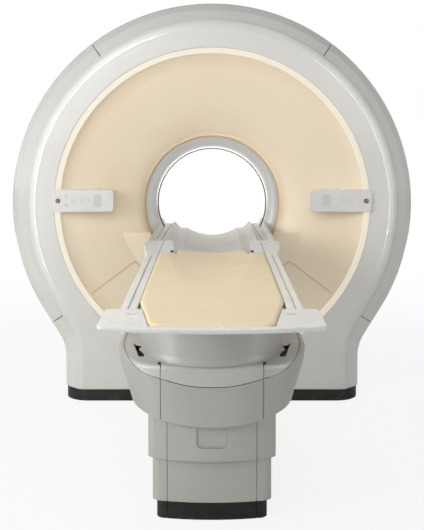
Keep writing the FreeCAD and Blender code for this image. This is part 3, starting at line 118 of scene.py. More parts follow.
def near_axis(
    tree: bpy.types.NodeTree, place: Socket, other: int, axis: Point, full: float, none: float
) -> Socket:
    """Find what lies near a straight line, and near its mirror image across the object's middle.

    Args:
        tree: The node tree.
        place: Object coordinates.
        other: The axis that the distance is taken in beside X: 1 for Y, 2 for Z.
        axis: A point of the line, at 0 along it.
        full: Distance at which the share is 1.
        none: Distance at which it is 0. It changes evenly between the two and stays past them.

    Returns:
        A share from 0 to 1.
    """
    axes = add_node(tree, "SeparateXYZ", (place,)).outputs
    side = add_node(tree, "Math", (axes[0],), operation="ABSOLUTE").outputs[0]
    flat = add_node(tree, "CombineXYZ", {0: side, other: axes[other]}).outputs[0]
    away = add_node(tree, "VectorMath", (flat, axis), operation="DISTANCE").outputs["Value"]
    return add_node(tree, "MapRange", (away, full, none, 1.0, 0.0)).outputs[0]


# ---- finishes
class Relief(Enum):
    """How a surface was made, which sets the shape of its fine relief."""

    ORANGE_PEEL = "sprayed paint"
    SPARKED = "moulded in a spark-eroded tool"
    LEATHER = "embossed vinyl"
    DRAWN_Z = "drawn along Z"
    DRAWN_Y = "drawn along Y"
    CAST = "cast resin"
    WOUND = "filament wound"


# Detail and roughness of the noise that draws each relief, and of any relief not named here.
RELIEF_NOISE: dict[Relief, Pair] = {Relief.ORANGE_PEEL: (1.5, 0.35), Relief.SPARKED: (5.0, 0.75)}
PLAIN_NOISE: Pair = (3.0, 0.6)
# Scale along each axis of a relief that is drawn out one way.
LENGTHWISE = 0.02
ROUND_A_TUBE = 0.08
RELIEF_STRENGTH = 0.6
MOTTLE_DETAIL = 4.0
STREAK_DETAIL = 6.0
# Samples of the rounded normals: for worn edges, for blended facets and for the coat over them.
EDGE_SAMPLES = 4
FACET_SAMPLES = 8
COAT_SAMPLES = 16
# In cells of a pattern: how far a bend of the leather's creases runs, how wide a crease is from its
# middle to the top beside it, and a casting pit's radius.
CREASE_BEND = 3
CREASE_WIDTH = 0.22
PIT_RADIUS = 0.5
# Spans of a soft noise, low value to high value, over which one look turns into another.
TONE_SPAN: Pair = (0.35, 0.65)
GLOSS_SPAN: Pair = (0.3, 0.7)
PATCH_SPAN: Pair = (0.3, 0.6)
STREAK_SPAN: Pair = (0.48, 0.7)
HEIGHT_SPAN: Pair = (0.2, 0.8)
# Shares of the second colour: in the relief's hollows, in the least worn patches, in a full scuff.
HOLLOW_SHARE = 0.3
LEAST_WEAR = 0.35
SCUFF_SHARE = 0.6
STREAK_MM = 45.0
# Cosine between the rounded and the true normal where wear begins and where it is full.
EDGE_BEGINS = 0.985
EDGE_FULL = 0.8


@dataclass(frozen=True)
class Finish:
    """One real material with the process that made its surface.

    In millimetres, relief_mm is the width of one cell of the fine relief and depth_mm its height,
    mottle_mm the width of a slow change of tone, edge_mm the width of a worn edge, scuff_mm the height
    of the scuffing above the floor, and blend_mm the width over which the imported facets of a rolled
    surface are blended. Its coat is blended over half of that, so that it keeps narrow highlights.
    A metal has no ior of its own here.
    """

    name: str
    base: str
    shade: str
    worn: str
    roughness: float
    relief: Relief
    relief_mm: float = 3.0
    depth_mm: float = 0.05
    spread: float = 0.05
    mottle_mm: float = 280.0
    edge_mm: float = 2.0
    wear: float = 0.5
    scuff_mm: float = 0.0
    ior: Optional[float] = 1.5
    blend_mm: float = 0.0
    extras: tuple[tuple[str, Feed], ...] = ()

    def relief_height(self, tree: bpy.types.NodeTree, place: Socket) -> Socket:
        """Make the fine relief that the surface's process leaves.

        Args:
            tree: The material's node tree.
            place: Object coordinates.

        Returns:
            Height between about 0 and 1.
        """
        stretch = {
            Relief.DRAWN_Z: (1.0, 1.0, LENGTHWISE),
            Relief.DRAWN_Y: (1.0, LENGTHWISE, 1.0),
            Relief.WOUND: (1.0, ROUND_A_TUBE, 1.0),
        }
        scale = per_mm(self.relief_mm)
        if self.relief in stretch:
            place = add_node(
                tree, "Mapping", {"Vector": place, "Scale": stretch[self.relief]}
            ).outputs[0]
        if self.relief is Relief.LEATHER:
            bent = add_node(
                tree, "TexNoise", {"Vector": place, "Scale": scale / CREASE_BEND, "Detail": 1.0}
            )
            spread = add_node(
                tree, "VectorMath", (bent.outputs[1], (mm(self.relief_mm),) * 3), operation="MULTIPLY"
            )
            moved = add_node(tree, "VectorMath", (place, spread.outputs[0]), operation="ADD")
            cells = add_node(
                tree, "TexVoronoi", {"Vector": moved.outputs[0], "Scale": scale},
                feature="DISTANCE_TO_EDGE",
            )
            feeds = (cells.outputs[0], 0.0, CREASE_WIDTH, 0.0, 1.0)
            return add_node(tree, "MapRange", feeds).outputs[0]
        if self.relief is Relief.CAST:
            pits = add_node(tree, "TexVoronoi", {"Vector": place, "Scale": scale})
            feeds = (pits.outputs[0], 0.0, PIT_RADIUS, 0.0, 1.0)
            return add_node(tree, "MapRange", feeds).outputs[0]
        detail, rough = RELIEF_NOISE.get(self.relief, PLAIN_NOISE)
        return add_node(
            tree, "TexNoise", {"Vector": place, "Scale": scale, "Detail": detail, "Roughness": rough}
        ).outputs[0]

    def edge_mask(self, tree: bpy.types.NodeTree, mottle: Socket) -> Socket:
        """Find the edges, where hands and trolleys rub, broken up by the mottling.

        Args:
            tree: The material's node tree.
            mottle: Large soft noise.

        Returns:
            Share of wear from 0 to 1.
        """
        rounded = add_node(tree, "Bevel", {"Radius": mm(self.edge_mm)}, samples=EDGE_SAMPLES)
        true = add_node(tree, "NewGeometry")
        match = add_node(
            tree, "VectorMath", (rounded.outputs[0], true.outputs["Normal"]), operation="DOT_PRODUCT"
        )
        feeds = (match.outputs["Value"], EDGE_BEGINS, EDGE_FULL, 0.0, self.wear)
        edge = add_node(tree, "MapRange", feeds).outputs[0]
        broken = add_node(tree, "MapRange", (mottle, *PATCH_SPAN, LEAST_WEAR, 1.0)).outputs[0]
        return add_node(tree, "Math", (edge, broken), operation="MULTIPLY").outputs[0]

    def colour(
        self, tree: bpy.types.NodeTree, place: Socket, mottle: Socket, height: Socket
    ) -> Socket:
        """Vary the base colour with age, grain, wear and scuffs.

        Args:
            tree: The material's node tree.
            place: Object coordinates.
            mottle: Large soft noise.
            height: Fine relief.

        Returns:
            The colour's socket.
        """
        base, shade, worn = linear(self.base), linear(self.shade), linear(self.worn)
        slow = add_node(tree, "MapRange", (mottle, *TONE_SPAN, 0.0, 1.0)).outputs[0]
        toned = add_node(
            tree, "Mix", {SHARE: slow, FIRST: base, SECOND: shade}, data_type="RGBA"
        ).outputs[MIXED]
        hollows = add_node(tree, "MapRange", (height, *HEIGHT_SPAN, HOLLOW_SHARE, 0.0)).outputs[0]
        grained = add_node(
            tree, "Mix", {SHARE: hollows, FIRST: toned, SECOND: shade}, data_type="RGBA"
        ).outputs[MIXED]
        edges = self.edge_mask(tree, mottle)
        rubbed = add_node(
            tree, "Mix", {SHARE: edges, FIRST: grained, SECOND: worn}, data_type="RGBA"
        ).outputs[MIXED]
        if not self.scuff_mm:
            return rubbed
        axes = add_node(tree, "SeparateXYZ", (place,)).outputs
        low = add_node(tree, "MapRange", (axes[2], 0.0, mm(self.scuff_mm), 1.0, 0.0)).outputs[0]
        feeds = {"Vector": place, "Scale": per_mm(STREAK_MM), "Detail": STREAK_DETAIL}
        streaks = add_node(tree, "TexNoise", feeds).outputs[0]
        marks = add_node(tree, "MapRange", (streaks, *STREAK_SPAN, 0.0, SCUFF_SHARE)).outputs[0]
        share = add_node(tree, "Math", (low, marks), operation="MULTIPLY").outputs[0]
        return add_node(
            tree, "Mix", {SHARE: share, FIRST: rubbed, SECOND: worn}, data_type="RGBA"
        ).outputs[MIXED]

    def marked(self, tree: bpy.types.NodeTree, place: Socket, body: Socket) -> Socket:
        """Return the colour as it is: a plain finish has no second colour."""
        return body

    def build(self) -> bpy.types.Material:
        """Make the Blender material.

        Returns:
            The material, with all its nodes.
        """
        material = bpy.data.materials.new(self.name)
        material.use_nodes = True
        tree = material.node_tree
        tree.nodes.clear()
        place = add_node(tree, "TexCoord").outputs["Object"]
        feeds = {"Vector": place, "Scale": per_mm(self.mottle_mm), "Detail": MOTTLE_DETAIL}
        mottle = add_node(tree, "TexNoise", feeds).outputs[0]
        height = self.relief_height(tree, place)
        least, most = self.roughness - self.spread, self.roughness + self.spread
        gloss = add_node(tree, "MapRange", (mottle, *GLOSS_SPAN, least, most)).outputs[0]
        relief: dict[Union[str, int], Feed] = {
            "Strength": RELIEF_STRENGTH, "Distance": mm(self.depth_mm), "Height": height,
        }
        if self.blend_mm:
            soft = add_node(tree, "Bevel", {"Radius": mm(self.blend_mm)}, samples=FACET_SAMPLES)
            relief["Normal"] = soft.outputs[0]
        bump = add_node(tree, "Bump", relief)
        inputs: dict[Union[str, int], Feed] = {
            "Base Color": self.marked(tree, place, self.colour(tree, place, mottle, height)),
            "Roughness": gloss,
            "Normal": bump.outputs[0],
        }
        if self.blend_mm:
            radius = mm(self.blend_mm / 2)
            coat = add_node(tree, "Bevel", {"Radius": radius}, samples=COAT_SAMPLES)
            inputs["Coat Normal"] = coat.outputs[0]
        if self.ior is None:
            inputs["Metallic"] = 1.0
        else:
            inputs["IOR"] = self.ior
        inputs.update(dict(self.extras))
        shader = add_node(tree, "BsdfPrincipled", inputs)
        add_node(tree, "OutputMaterial", {"Surface": shader.outputs[0]})
        return material


@dataclass(frozen=True)
class DarkDiscFinish(Finish):
    """A finish with a round dark disc on either side of the middle."""

    dark_disc: str = "#3b3a38"
    dark_disc_x_mm: float = 168.0
    dark_disc_y_mm: float = -1877.0
    dark_disc_radius_mm: float = 7.4
    dark_disc_edge_mm: float = 0.4

    def marked(self, tree: bpy.types.NodeTree, place: Socket, body: Socket) -> Socket:
        """Paint the dark discs.

        Args:
            tree: The material's node tree.
            place: Object coordinates.
            body: The colour of the rest.

        Returns:
            The colour's socket.
        """
        # Two dark discs, mirrored across the middle.
        axis = (mm(self.dark_disc_x_mm), mm(self.dark_disc_y_mm), 0.0)
        radius = mm(self.dark_disc_radius_mm)
        share = near_axis(tree, place, 1, axis, radius, radius + mm(self.dark_disc_edge_mm))
        feeds = {SHARE: share, FIRST: body, SECOND: linear(self.dark_disc)}
        return add_node(tree, "Mix", feeds, data_type="RGBA").outputs[MIXED]


@dataclass(frozen=True)
class HighlightedButtonFinish(Finish):
    """A finish for a round button with a painted highlight: paler in its middle than at its rim."""

    # Colour of the painted highlight, then its place, radius and soft edge.
    painted_highlight: str = "#b98a8c"
    highlight_x_mm: float = 814.0
    highlight_z_mm: float = 1073.0
    highlight_radius_mm: float = 4.2
    highlight_edge_mm: float = 1.2

    def marked(self, tree: bpy.types.NodeTree, place: Socket, body: Socket) -> Socket:
        """Paint a highlight as a pale disc in the middle of the button on either side.

        Args:
            tree: The material's node tree.
            place: Object coordinates.
            body: The colour of the rest.

        Returns:
            The colour's socket.
        """
        # Painted highlight: a pale disc about each button's middle.
        axis = (mm(self.highlight_x_mm), 0.0, mm(self.highlight_z_mm))
        radius = mm(self.highlight_radius_mm)
        share = near_axis(tree, place, 2, axis, radius, radius + mm(self.highlight_edge_mm))
        feeds = {SHARE: share, FIRST: body, SECOND: linear(self.painted_highlight)}
        return add_node(tree, "Mix", feeds, data_type="RGBA").outputs[MIXED]


@dataclass(frozen=True)
class ThroatShadeFinish(Finish):
    """A finish with painted shade, deepest where the bell and the funnel meet."""

    # Colour of the painted shade.
    throat_shade: str = "#c2a36f"
    deep_mm: float = 366.0
    clear_mm: float = 425.0
    share: float = 0.55
    falloff: float = 2.0

    def marked(self, tree: bpy.types.NodeTree, place: Socket, body: Socket) -> Socket:
        """Paint shade into the colour, from clear_mm off the bore's axis in to deep_mm.

        Args:
            tree: The material's node tree.
            place: Object coordinates.
            body: The colour of the rest.

        Returns:
            The colour's socket.
        """
        # Painted shade: the throat's colour is mixed in more and more towards the bore's axis.
        axis = (0.0, 0.0, mm(BORE_HEIGHT_MM))
        near = near_axis(tree, place, 2, axis, mm(self.deep_mm), mm(self.clear_mm))
        soft = add_node(tree, "Math", (near, self.falloff), operation="POWER").outputs[0]
        share = add_node(tree, "Math", (soft, self.share), operation="MULTIPLY").outputs[0]
        feeds = {SHARE: share, FIRST: body, SECOND: linear(self.throat_shade)}
        return add_node(tree, "Mix", feeds, data_type="RGBA").outputs[MIXED]


# Two-pack polyurethane sprayed over glass-fibre shells: a soft even sheen with faint orange peel.
# The real peel is about 1 mm across, drawn at 4 mm so that it shows.
COVER_PAINT = Finish(
    "sprayed_polyurethane_cover", "#d8d7d3", "#d3d2cd", "#c6c4bd", 0.34, Relief.ORANGE_PEEL,
    relief_mm=4.0, depth_mm=0.04, scuff_mm=160.0, blend_mm=12.0,
    extras=(("Coat Weight", 1.0), ("Coat Roughness", 0.06)),
)
# The same paint in warm beige on the trumpet, a little more matt, so the light rolls off slowly.
# Painted shade deepens it towards the throat, where the bell meets the funnel.
BELL_PAINT = ThroatShadeFinish(
    "sprayed_polyurethane_bell", "#efdfc6", "#ebd9bd", "#dcc9a9", 0.46, Relief.ORANGE_PEEL,
    relief_mm=4.0, depth_mm=0.05, mottle_mm=420.0,
)
# Opal acrylic diffuser, cast and polished: a milky ring that glows from behind. Its glow is also set
# strong enough to even out the ring's lit and shaded sides, which is painted light.
RING_ACRYLIC = Finish(
    "polished_opal_acrylic", "#b3afa5", "#adaa9e", "#a5a093", 0.2, Relief.ORANGE_PEEL,
    relief_mm=30.0, depth_mm=0.03, wear=0.3, ior=1.49,
    extras=(("Emission Color", linear("#fff4e0")), ("Emission Strength", 0.48)),
)
# Moulded ABS from a spark-eroded tool: a dry, even grey with a fine stipple, drawn at 3 mm.
# Painted shade turns its outer lip warm brown, beside the bell's throat.
FUNNEL_ABS = ThroatShadeFinish(
    "moulded_abs_funnel", "#c4c4c2", "#bebebc", "#d0d0ce", 0.36, Relief.SPARKED,
    clear_mm=344.0,
)
# Gel coat over a laminated trough: smooth, with the slow waviness of a hand-laid mould.
BRIDGE_GELCOAT = Finish(
    "gelcoated_laminate_bridge", "#c9c8c5", "#c2c1bd", "#d6d5d1", 0.32, Relief.ORANGE_PEEL,
    relief_mm=24.0, depth_mm=0.12,
)
# Extruded EPDM rubber: nearly black and dull, with a bloom that greys its edges.
SEAL_RUBBER = Finish(
    "extruded_epdm_seal", "#4a4947", "#3d3c3a", "#6b6966", 0.7, Relief.SPARKED,
    relief_mm=2.5, depth_mm=0.08, ior=1.52,
)
# Filament-wound glass-fibre tube under gel coat: pale and smooth, with the faint bands of its winding.
LINER_GELCOAT = Finish(
    "gelcoated_wound_tube", "#e4e1d9", "#dad6cc", "#cfcabd", 0.3, Relief.WOUND,
    relief_mm=30.0, depth_mm=0.1,
)
# Black PVC skirting, extruded and bonded: satin, scuffed grey by shoes and mops.
SKIRT_PVC = Finish(
    "extruded_pvc_skirting", "#1b1b1b", "#161616", "#3c3b3a", 0.45, Relief.SPARKED,
    relief_mm=3.0, depth_mm=0.06, scuff_mm=50.0, ior=1.53,
    extras=(("Specular IOR Level", 0.3),),
)
# Austenitic stainless steel, rolled and brushed round the shell: cool grey with long fine lines.
VESSEL_STEEL = Finish(
    "brushed_stainless_vessel", "#b9bbbd", "#a9abae", "#d0d2d4", 0.36, Relief.DRAWN_Y,
    relief_mm=4.0, depth_mm=0.03, ior=None,
)
# Filled epoxy, cast round the windings under vacuum: ochre and waxy, with small pits.
COIL_EPOXY = Finish(
    "cast_filled_epoxy", "#b9a67c", "#a89468", "#c9b991", 0.5, Relief.CAST,
    relief_mm=9.0, depth_mm=0.15, ior=1.55,
)
# Epoxy-polyester powder coat on welded steel: mid grey, with the stipple that powder leaves.
POWDER_STEEL = Finish(
    "powder_coated_steel", "#8d8f90", "#828485", "#a5a6a6", 0.5, Relief.SPARKED,
    relief_mm=3.0, depth_mm=0.08, ior=1.55,
)
# Extruded aluminium, clear anodised: satin silver, with die lines along its length.
ANODISED_ALUMINIUM = Finish(
    "clear_anodised_aluminium", "#c3c5c6", "#b5b7b9", "#d9dadb", 0.34, Relief.DRAWN_Z,
    relief_mm=3.0, depth_mm=0.03, ior=None,
)
# White ABS, moulded and lightly textured: flat and clean, a touch glossier than the covers' paint.
PANEL_ABS = Finish(
    "moulded_abs_panel", "#dfdedb", "#d6d5d1", "#cdcbc6", 0.3, Relief.SPARKED,
    relief_mm=2.5, depth_mm=0.03, mottle_mm=90.0, edge_mm=1.2, ior=1.53,
)
# Hard-coated polycarbonate window over a display that is off: a smooth grey with sharp reflections.
DISPLAY_WINDOW = Finish(
    "hard_coated_polycarbonate", "#d3d4d2", "#cecfcc", "#dcdcda", 0.12, Relief.ORANGE_PEEL,
    relief_mm=30.0, depth_mm=0.01, spread=0.02, edge_mm=0.6, ior=1.58,
)
# Silicone keys, compression moulded: soft, dull and faintly dusty.
KEY_SILICONE = Finish(
    "moulded_silicone_key", "#dbdad7", "#d5d4d0", "#e2e1de", 0.55, Relief.SPARKED,
    relief_mm=2.0, depth_mm=0.04, mottle_mm=30.0, edge_mm=0.8, ior=1.43,
)
# Screen-printed ink of the key marks: flat mid grey.
MARK_INK = Finish(
    "screen_printed_ink", "#b4b3b0", "#adaca9", "#bfbebb", 0.6, Relief.SPARKED,
    relief_mm=2.0, depth_mm=0.01, mottle_mm=20.0, edge_mm=0.3,
)
# Dark red polyamide push button, moulded to a gloss, with a painted highlight in its middle.
STOP_POLYAMIDE = HighlightedButtonFinish(
    "glossy_polyamide_stop", "#6e2331", "#621e2b", "#8c4651", 0.25, Relief.ORANGE_PEEL,
    relief_mm=6.0, depth_mm=0.02, mottle_mm=12.0, edge_mm=0.8, ior=1.53,
)
# White gel coat on the laminated table top: bright, wiped smooth, a little warmer where it is rubbed.
PLATE_GELCOAT = Finish(
    "gelcoated_table_top", "#e6e7e5", "#e0e1de", "#d8d4c5", 0.3, Relief.ORANGE_PEEL,
    relief_mm=18.0, depth_mm=0.06, mottle_mm=150.0, edge_mm=4.0, wear=0.9,
)
# The same gel coat on the head-end shoes, with a dark disc drawn on each shoe.
SHOE_GELCOAT = DarkDiscFinish(
    "gelcoated_head_shoe", "#e6e6e4", "#e0e0dd", "#d2d0c8", 0.32, Relief.ORANGE_PEEL,
    relief_mm=18.0, depth_mm=0.06, mottle_mm=120.0, edge_mm=3.0,
)
# Extruded and painted accessory rails: even and pale, with die lines along them.
RAIL_PAINT = Finish(
    "painted_extruded_rail", "#e8e8e4", "#e2e2dd", "#eeede9", 0.34, Relief.DRAWN_Y,
    relief_mm=4.0, depth_mm=0.03, mottle_mm=120.0,
)
# Glass-fibre skins over foam with a clear gel coat: pale, with a ghost of the winding beneath.
BOARD_LAMINATE = Finish(
    "laminated_carrier_board", "#dad8d0", "#cfccc2", "#c9c5b8", 0.32, Relief.WOUND,
    relief_mm=20.0, depth_mm=0.05,
)
# Medical vinyl, knit backed and embossed: warm and matt, with a skin-like grain.
# The real grain is about 1 mm, drawn at 5 mm so that it shows.
PAD_VINYL = Finish(
    "embossed_medical_vinyl", "#efdcbc", "#ecd8b5", "#e4cfa9", 0.55, Relief.LEATHER,
    relief_mm=5.0, depth_mm=0.08, mottle_mm=160.0, edge_mm=3.0, wear=0.2,
)
# Painted aluminium beam below the board: even light grey.
BEAM_PAINT = Finish(
    "painted_aluminium_beam", "#aeaea9", "#a4a49f", "#c2c2bd", 0.42, Relief.ORANGE_PEEL,
    relief_mm=4.0, depth_mm=0.04,
)
# High-density polyethylene runners, machined: black, waxy, polished along the travel.
GLIDE_POLYETHYLENE = Finish(
    "machined_polyethylene_glide", "#232323", "#1b1b1b", "#454544", 0.38, Relief.DRAWN_Y,
    relief_mm=3.0, depth_mm=0.03, ior=1.54,
)
# Painted polyurethane skins of the lift: light grey with a soft satin.
SHELL_PAINT = Finish(
    "sprayed_polyurethane_pedestal", "#b0afaa", "#abaaa4", "#bebcb6", 0.42, Relief.ORANGE_PEEL,
    relief_mm=4.0, depth_mm=0.05, scuff_mm=120.0,
)
# The same paint on the bowl that carries the table top, painted a shade lighter to stand for the light
# that falls on it.
LIT_BOWL_PAINT = Finish(
    "sprayed_polyurethane_bowl_painted_light", "#c0bfba", "#bbbab4", "#cccac4", 0.38, Relief.ORANGE_PEEL,
    relief_mm=4.0, depth_mm=0.05,
)
# Die-cast motor housing, painted: dark grey with a coarse skin.
MOTOR_CASTING = Finish(
    "painted_die_cast_motor", "#5b5d5f", "#505254", "#7b7d7e", 0.48, Relief.CAST,
    relief_mm=6.0, depth_mm=0.12,
)
# Galvanised steel cable duct, pressed: dull grey with rolling lines.
DUCT_STEEL = Finish(
    "pressed_galvanised_duct", "#a4a6a7", "#97999b", "#bfc0c1", 0.46, Relief.DRAWN_Y,
    relief_mm=5.0, depth_mm=0.04, ior=None,
)


@lru_cache(maxsize=None)
def material_of(finish: Finish) -> bpy.types.Material:
    """Return a finish's material, made the first time it is asked for."""
    return finish.build()


def dress(finish: Finish, *nodes: str) -> None:
    """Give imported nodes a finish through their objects' material slots.

    Args:
        finish: The finish.
        *nodes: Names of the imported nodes.
    """
    for name in nodes:
        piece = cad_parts[name]
        if not piece.material_slots:
            piece.data.materials.append(material_of(finish))
        for place in piece.material_slots:
            place.link = "OBJECT"
            place.material = material_of(finish)
        LOG.info("dressed %s in %s", name, finish.name)


def skinned(name: str, tubes: Sequence[Sequence[Sequence[Point]]]) -> bpy.types.Mesh:
    """Join rings of corners into closed tubes.

    Args:
        name: The mesh's name.
        tubes: Each tube's rings, and each ring's corners in metres.

    Returns:
        The mesh, with its faces turned outwards.
    """
    shape = bmesh.new()
    for rings in tubes:
        rows = [[shape.verts.new(corner) for corner in ring] for ring in rings]
        for low, high in zip(rows, rows[1:]):
            for edge in range(len(low)):
                after = (edge + 1) % len(low)
                shape.faces.new((low[edge], low[after], high[after], high[edge]))
        shape.faces.new(rows[0][::-1])
        shape.faces.new(rows[-1])
    bmesh.ops.recalc_face_normals(shape, faces=shape.faces[:])
    mesh = bpy.data.meshes.new(name)
    shape.to_mesh(mesh)
    shape.free()
    return mesh


def new_piece(
    name: str, mesh: bpy.types.Mesh, finish: Finish, body: str
) -> bpy.types.Object:
    """Put a mesh into the scene as a piece that rides on a body.

    Args:
        name: The piece's name.
        mesh: Its mesh, in metres.
        finish: What it is finished in.
        body: The body that it moves with.

    Returns:
        The new object.
    """
    piece = bpy.data.objects.new(name, mesh)
    bpy.context.scene.collection.objects.link(piece)
    piece.data.materials.clear()
    piece.data.materials.append(material_of(finish))
    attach(piece, body)
    LOG.info("built %s: %d faces on %s", name, len(mesh.polygons), body)
    return piece


# ---- gantry
@dataclass
class GantryShell:
    """The painted covers round the magnet, front and rear, with the skirting below them."""

    flanks: tuple[str, ...] = ("flank_cover_top", "flank_cover_left", "flank_cover_right")
    faces: tuple[str, ...] = ("front_cover", "rear_cover", "rear_bell", "foot_covers")

    def build(self) -> None:
        """Dress the covers and the skirting."""
        dress(COVER_PAINT, *self.flanks, *self.faces)
        dress(SKIRT_PVC, "plinth")


@dataclass
class Trumpet:
    """The beige bell with its lit ring, the grey funnel and the patient tube behind it."""

    bell: tuple[str, ...] = ("bell_main", "bell_lower_panel")

    def build(self) -> None:
        """Dress the ring, the bell, the funnel, the bridge, the seal and the tube."""
        dress(RING_ACRYLIC, "light_ring")
        dress(BELL_PAINT, *self.bell)
        dress(FUNNEL_ABS, "mouth_ring")
        dress(BRIDGE_GELCOAT, "bridge")
        dress(SEAL_RUBBER, "bore_seal")
        dress(LINER_GELCOAT, "bore_liner")


@dataclass
class SeamLand:
    """The beige land behind the bell's seam, which keeps the seam from showing black.

    rim and flare are the poles of the bell's section, as radius and depth behind the front plane. The
    land follows the seam along a straight, round its corner and along an arc, on both sides of the
    middle, and arc_step and arc_stop are in radians.
    """

    axis_z_mm: float = BORE_HEIGHT_MM
    front_y_mm: float = -800.0
    rim: tuple[Pair, ...] = ((806.0, 12.0), (780.0, 27.1), (755.0, 37.0), (735.0, 41.0))
    flare: tuple[Pair, ...] = ((735.0, 41.0), (640.0, 60.0), (366.0, 110.0), (366.0, 186.0))
    seam_deg: float = -36.3
    seam_mm: float = 3.0
    outer_mm: float = 798.0
    inner_mm: float = 512.5
    corner_mm: float = 18.0
    set_back_mm: float = 8.0
    half_mm: float = 9.0
    thick_mm: float = 2.0
    run_steps: int = 24
    corner_steps: int = 4
    arc_step: float = 0.06
    arc_stop: float = 0.01
    curve_steps: int = 60
    least_run_mm: float = 1e-6

    def build(self) -> None:
        """Sweep the land along the seam, behind the bell's wall."""
        path = self.path()
        rings = []
        for number, here in enumerate(path):
            before, after = path[max(number - 1, 0)], path[min(number + 1, len(path) - 1)]
            run = Vector(after) - Vector(before)
            side = Vector((-run.y, run.x)).normalized() * self.half_mm
            corners = []
            for across, back in ((-1, 0), (1, 0), (1, 1), (-1, 1)):
                x, z = Vector(here) + side * across
                depth = self.depth_at(math.hypot(x, z)) + self.set_back_mm + back * self.thick_mm
                corners.append((mm(x), mm(self.front_y_mm + depth), mm(self.axis_z_mm + z)))
            rings.append(corners)
        mesh = skinned("bell_seam_land", [rings])
        new_piece("bell_seam_land", mesh, BELL_PAINT, "gantry")

    def path(self) -> Outline:
        """Draw the seam's middle line about the bore's axis, from its right end to its left.

        Returns:
            Points as x and z in millimetres.
        """
        turn = math.radians(self.seam_deg)
        along = Vector((math.cos(turn), math.sin(turn)))
        across = Vector((math.sin(turn), -math.cos(turn))) * (self.seam_mm / 2)
        steps = self.run_steps
        straight = self.outer_mm - self.inner_mm - self.corner_mm
        right = [
            along * (self.outer_mm - straight * step / steps) + across for step in range(steps + 1)
        ]
        corner = along * self.inner_mm + across
        first = turn - self.corner_mm / self.inner_mm
        start = Vector((math.cos(first), math.sin(first))) * self.inner_mm
        for number in range(1, self.corner_steps):
            share = number / self.corner_steps
            right.append(
                right[steps] * (1 - share) ** 2 + corner * 2 * share * (1 - share)
                + start * share ** 2
            )
        while first > -math.pi / 2 + self.arc_stop:
            right.append(Vector((math.cos(first), math.sin(first))) * self.inner_mm)
            first -= self.arc_step
        left = [Vector((-point.x, point.y)) for point in reversed(right)]
        return [(point.x, point.y) for point in right + left]

    def depth_at(self, radius: float) -> float:
        """Find the bell's depth behind the front plane at a radius.

        Args:
            radius: Distance from the bore's axis in millimetres.

        Returns:
            The depth in millimetres.
        """
        steps = self.curve_steps
        line = [self.curve(self.rim, step / steps) for step in range(steps)]
        line += [self.curve(self.flare, step / steps) for step in range(steps + 1)]
        for (wide, shallow), (narrow, deep) in zip(line, line[1:]):
            if narrow <= radius <= wide:
                share = (wide - radius) / max(wide - narrow, self.least_run_mm)
                return shallow + (deep - shallow) * share
        return line[0][1] if radius > line[0][0] else line[-1][1]

    @staticmethod
    def curve(poles: Sequence[Pair], share: float) -> Pair:
        """Evaluate a cubic curve.

        Args:
            poles: Its four poles, as radius and depth in millimetres.
            share: How far along its run, from 0 to 1.

        Returns:
            Radius and depth there.
        """
        rest = 1 - share
        weights = (rest ** 3, 3 * rest ** 2 * share, 3 * rest * share ** 2, share ** 3)
        radius = sum(weight * pole[0] for weight, pole in zip(weights, poles))
        return radius, sum(weight * pole[1] for weight, pole in zip(weights, poles))


@dataclass
class MagnetInside:
    """What the covers hide: the cold vessel, its coils, the stands and the cover hoops."""

    def build(self) -> None:
        """Dress the hidden pieces."""
        dress(VESSEL_STEEL, "magnet_vessel", "cold_head")
        dress(COIL_EPOXY, "gradient_coil", "body_coil")
        dress(POWDER_STEEL, "magnet_stands")
        dress(ANODISED_ALUMINIUM, "cover_hoops")


@dataclass
class KeyMark:
    """A plain printed sign on one key."""

    key: str
    outlines: list[Outline]


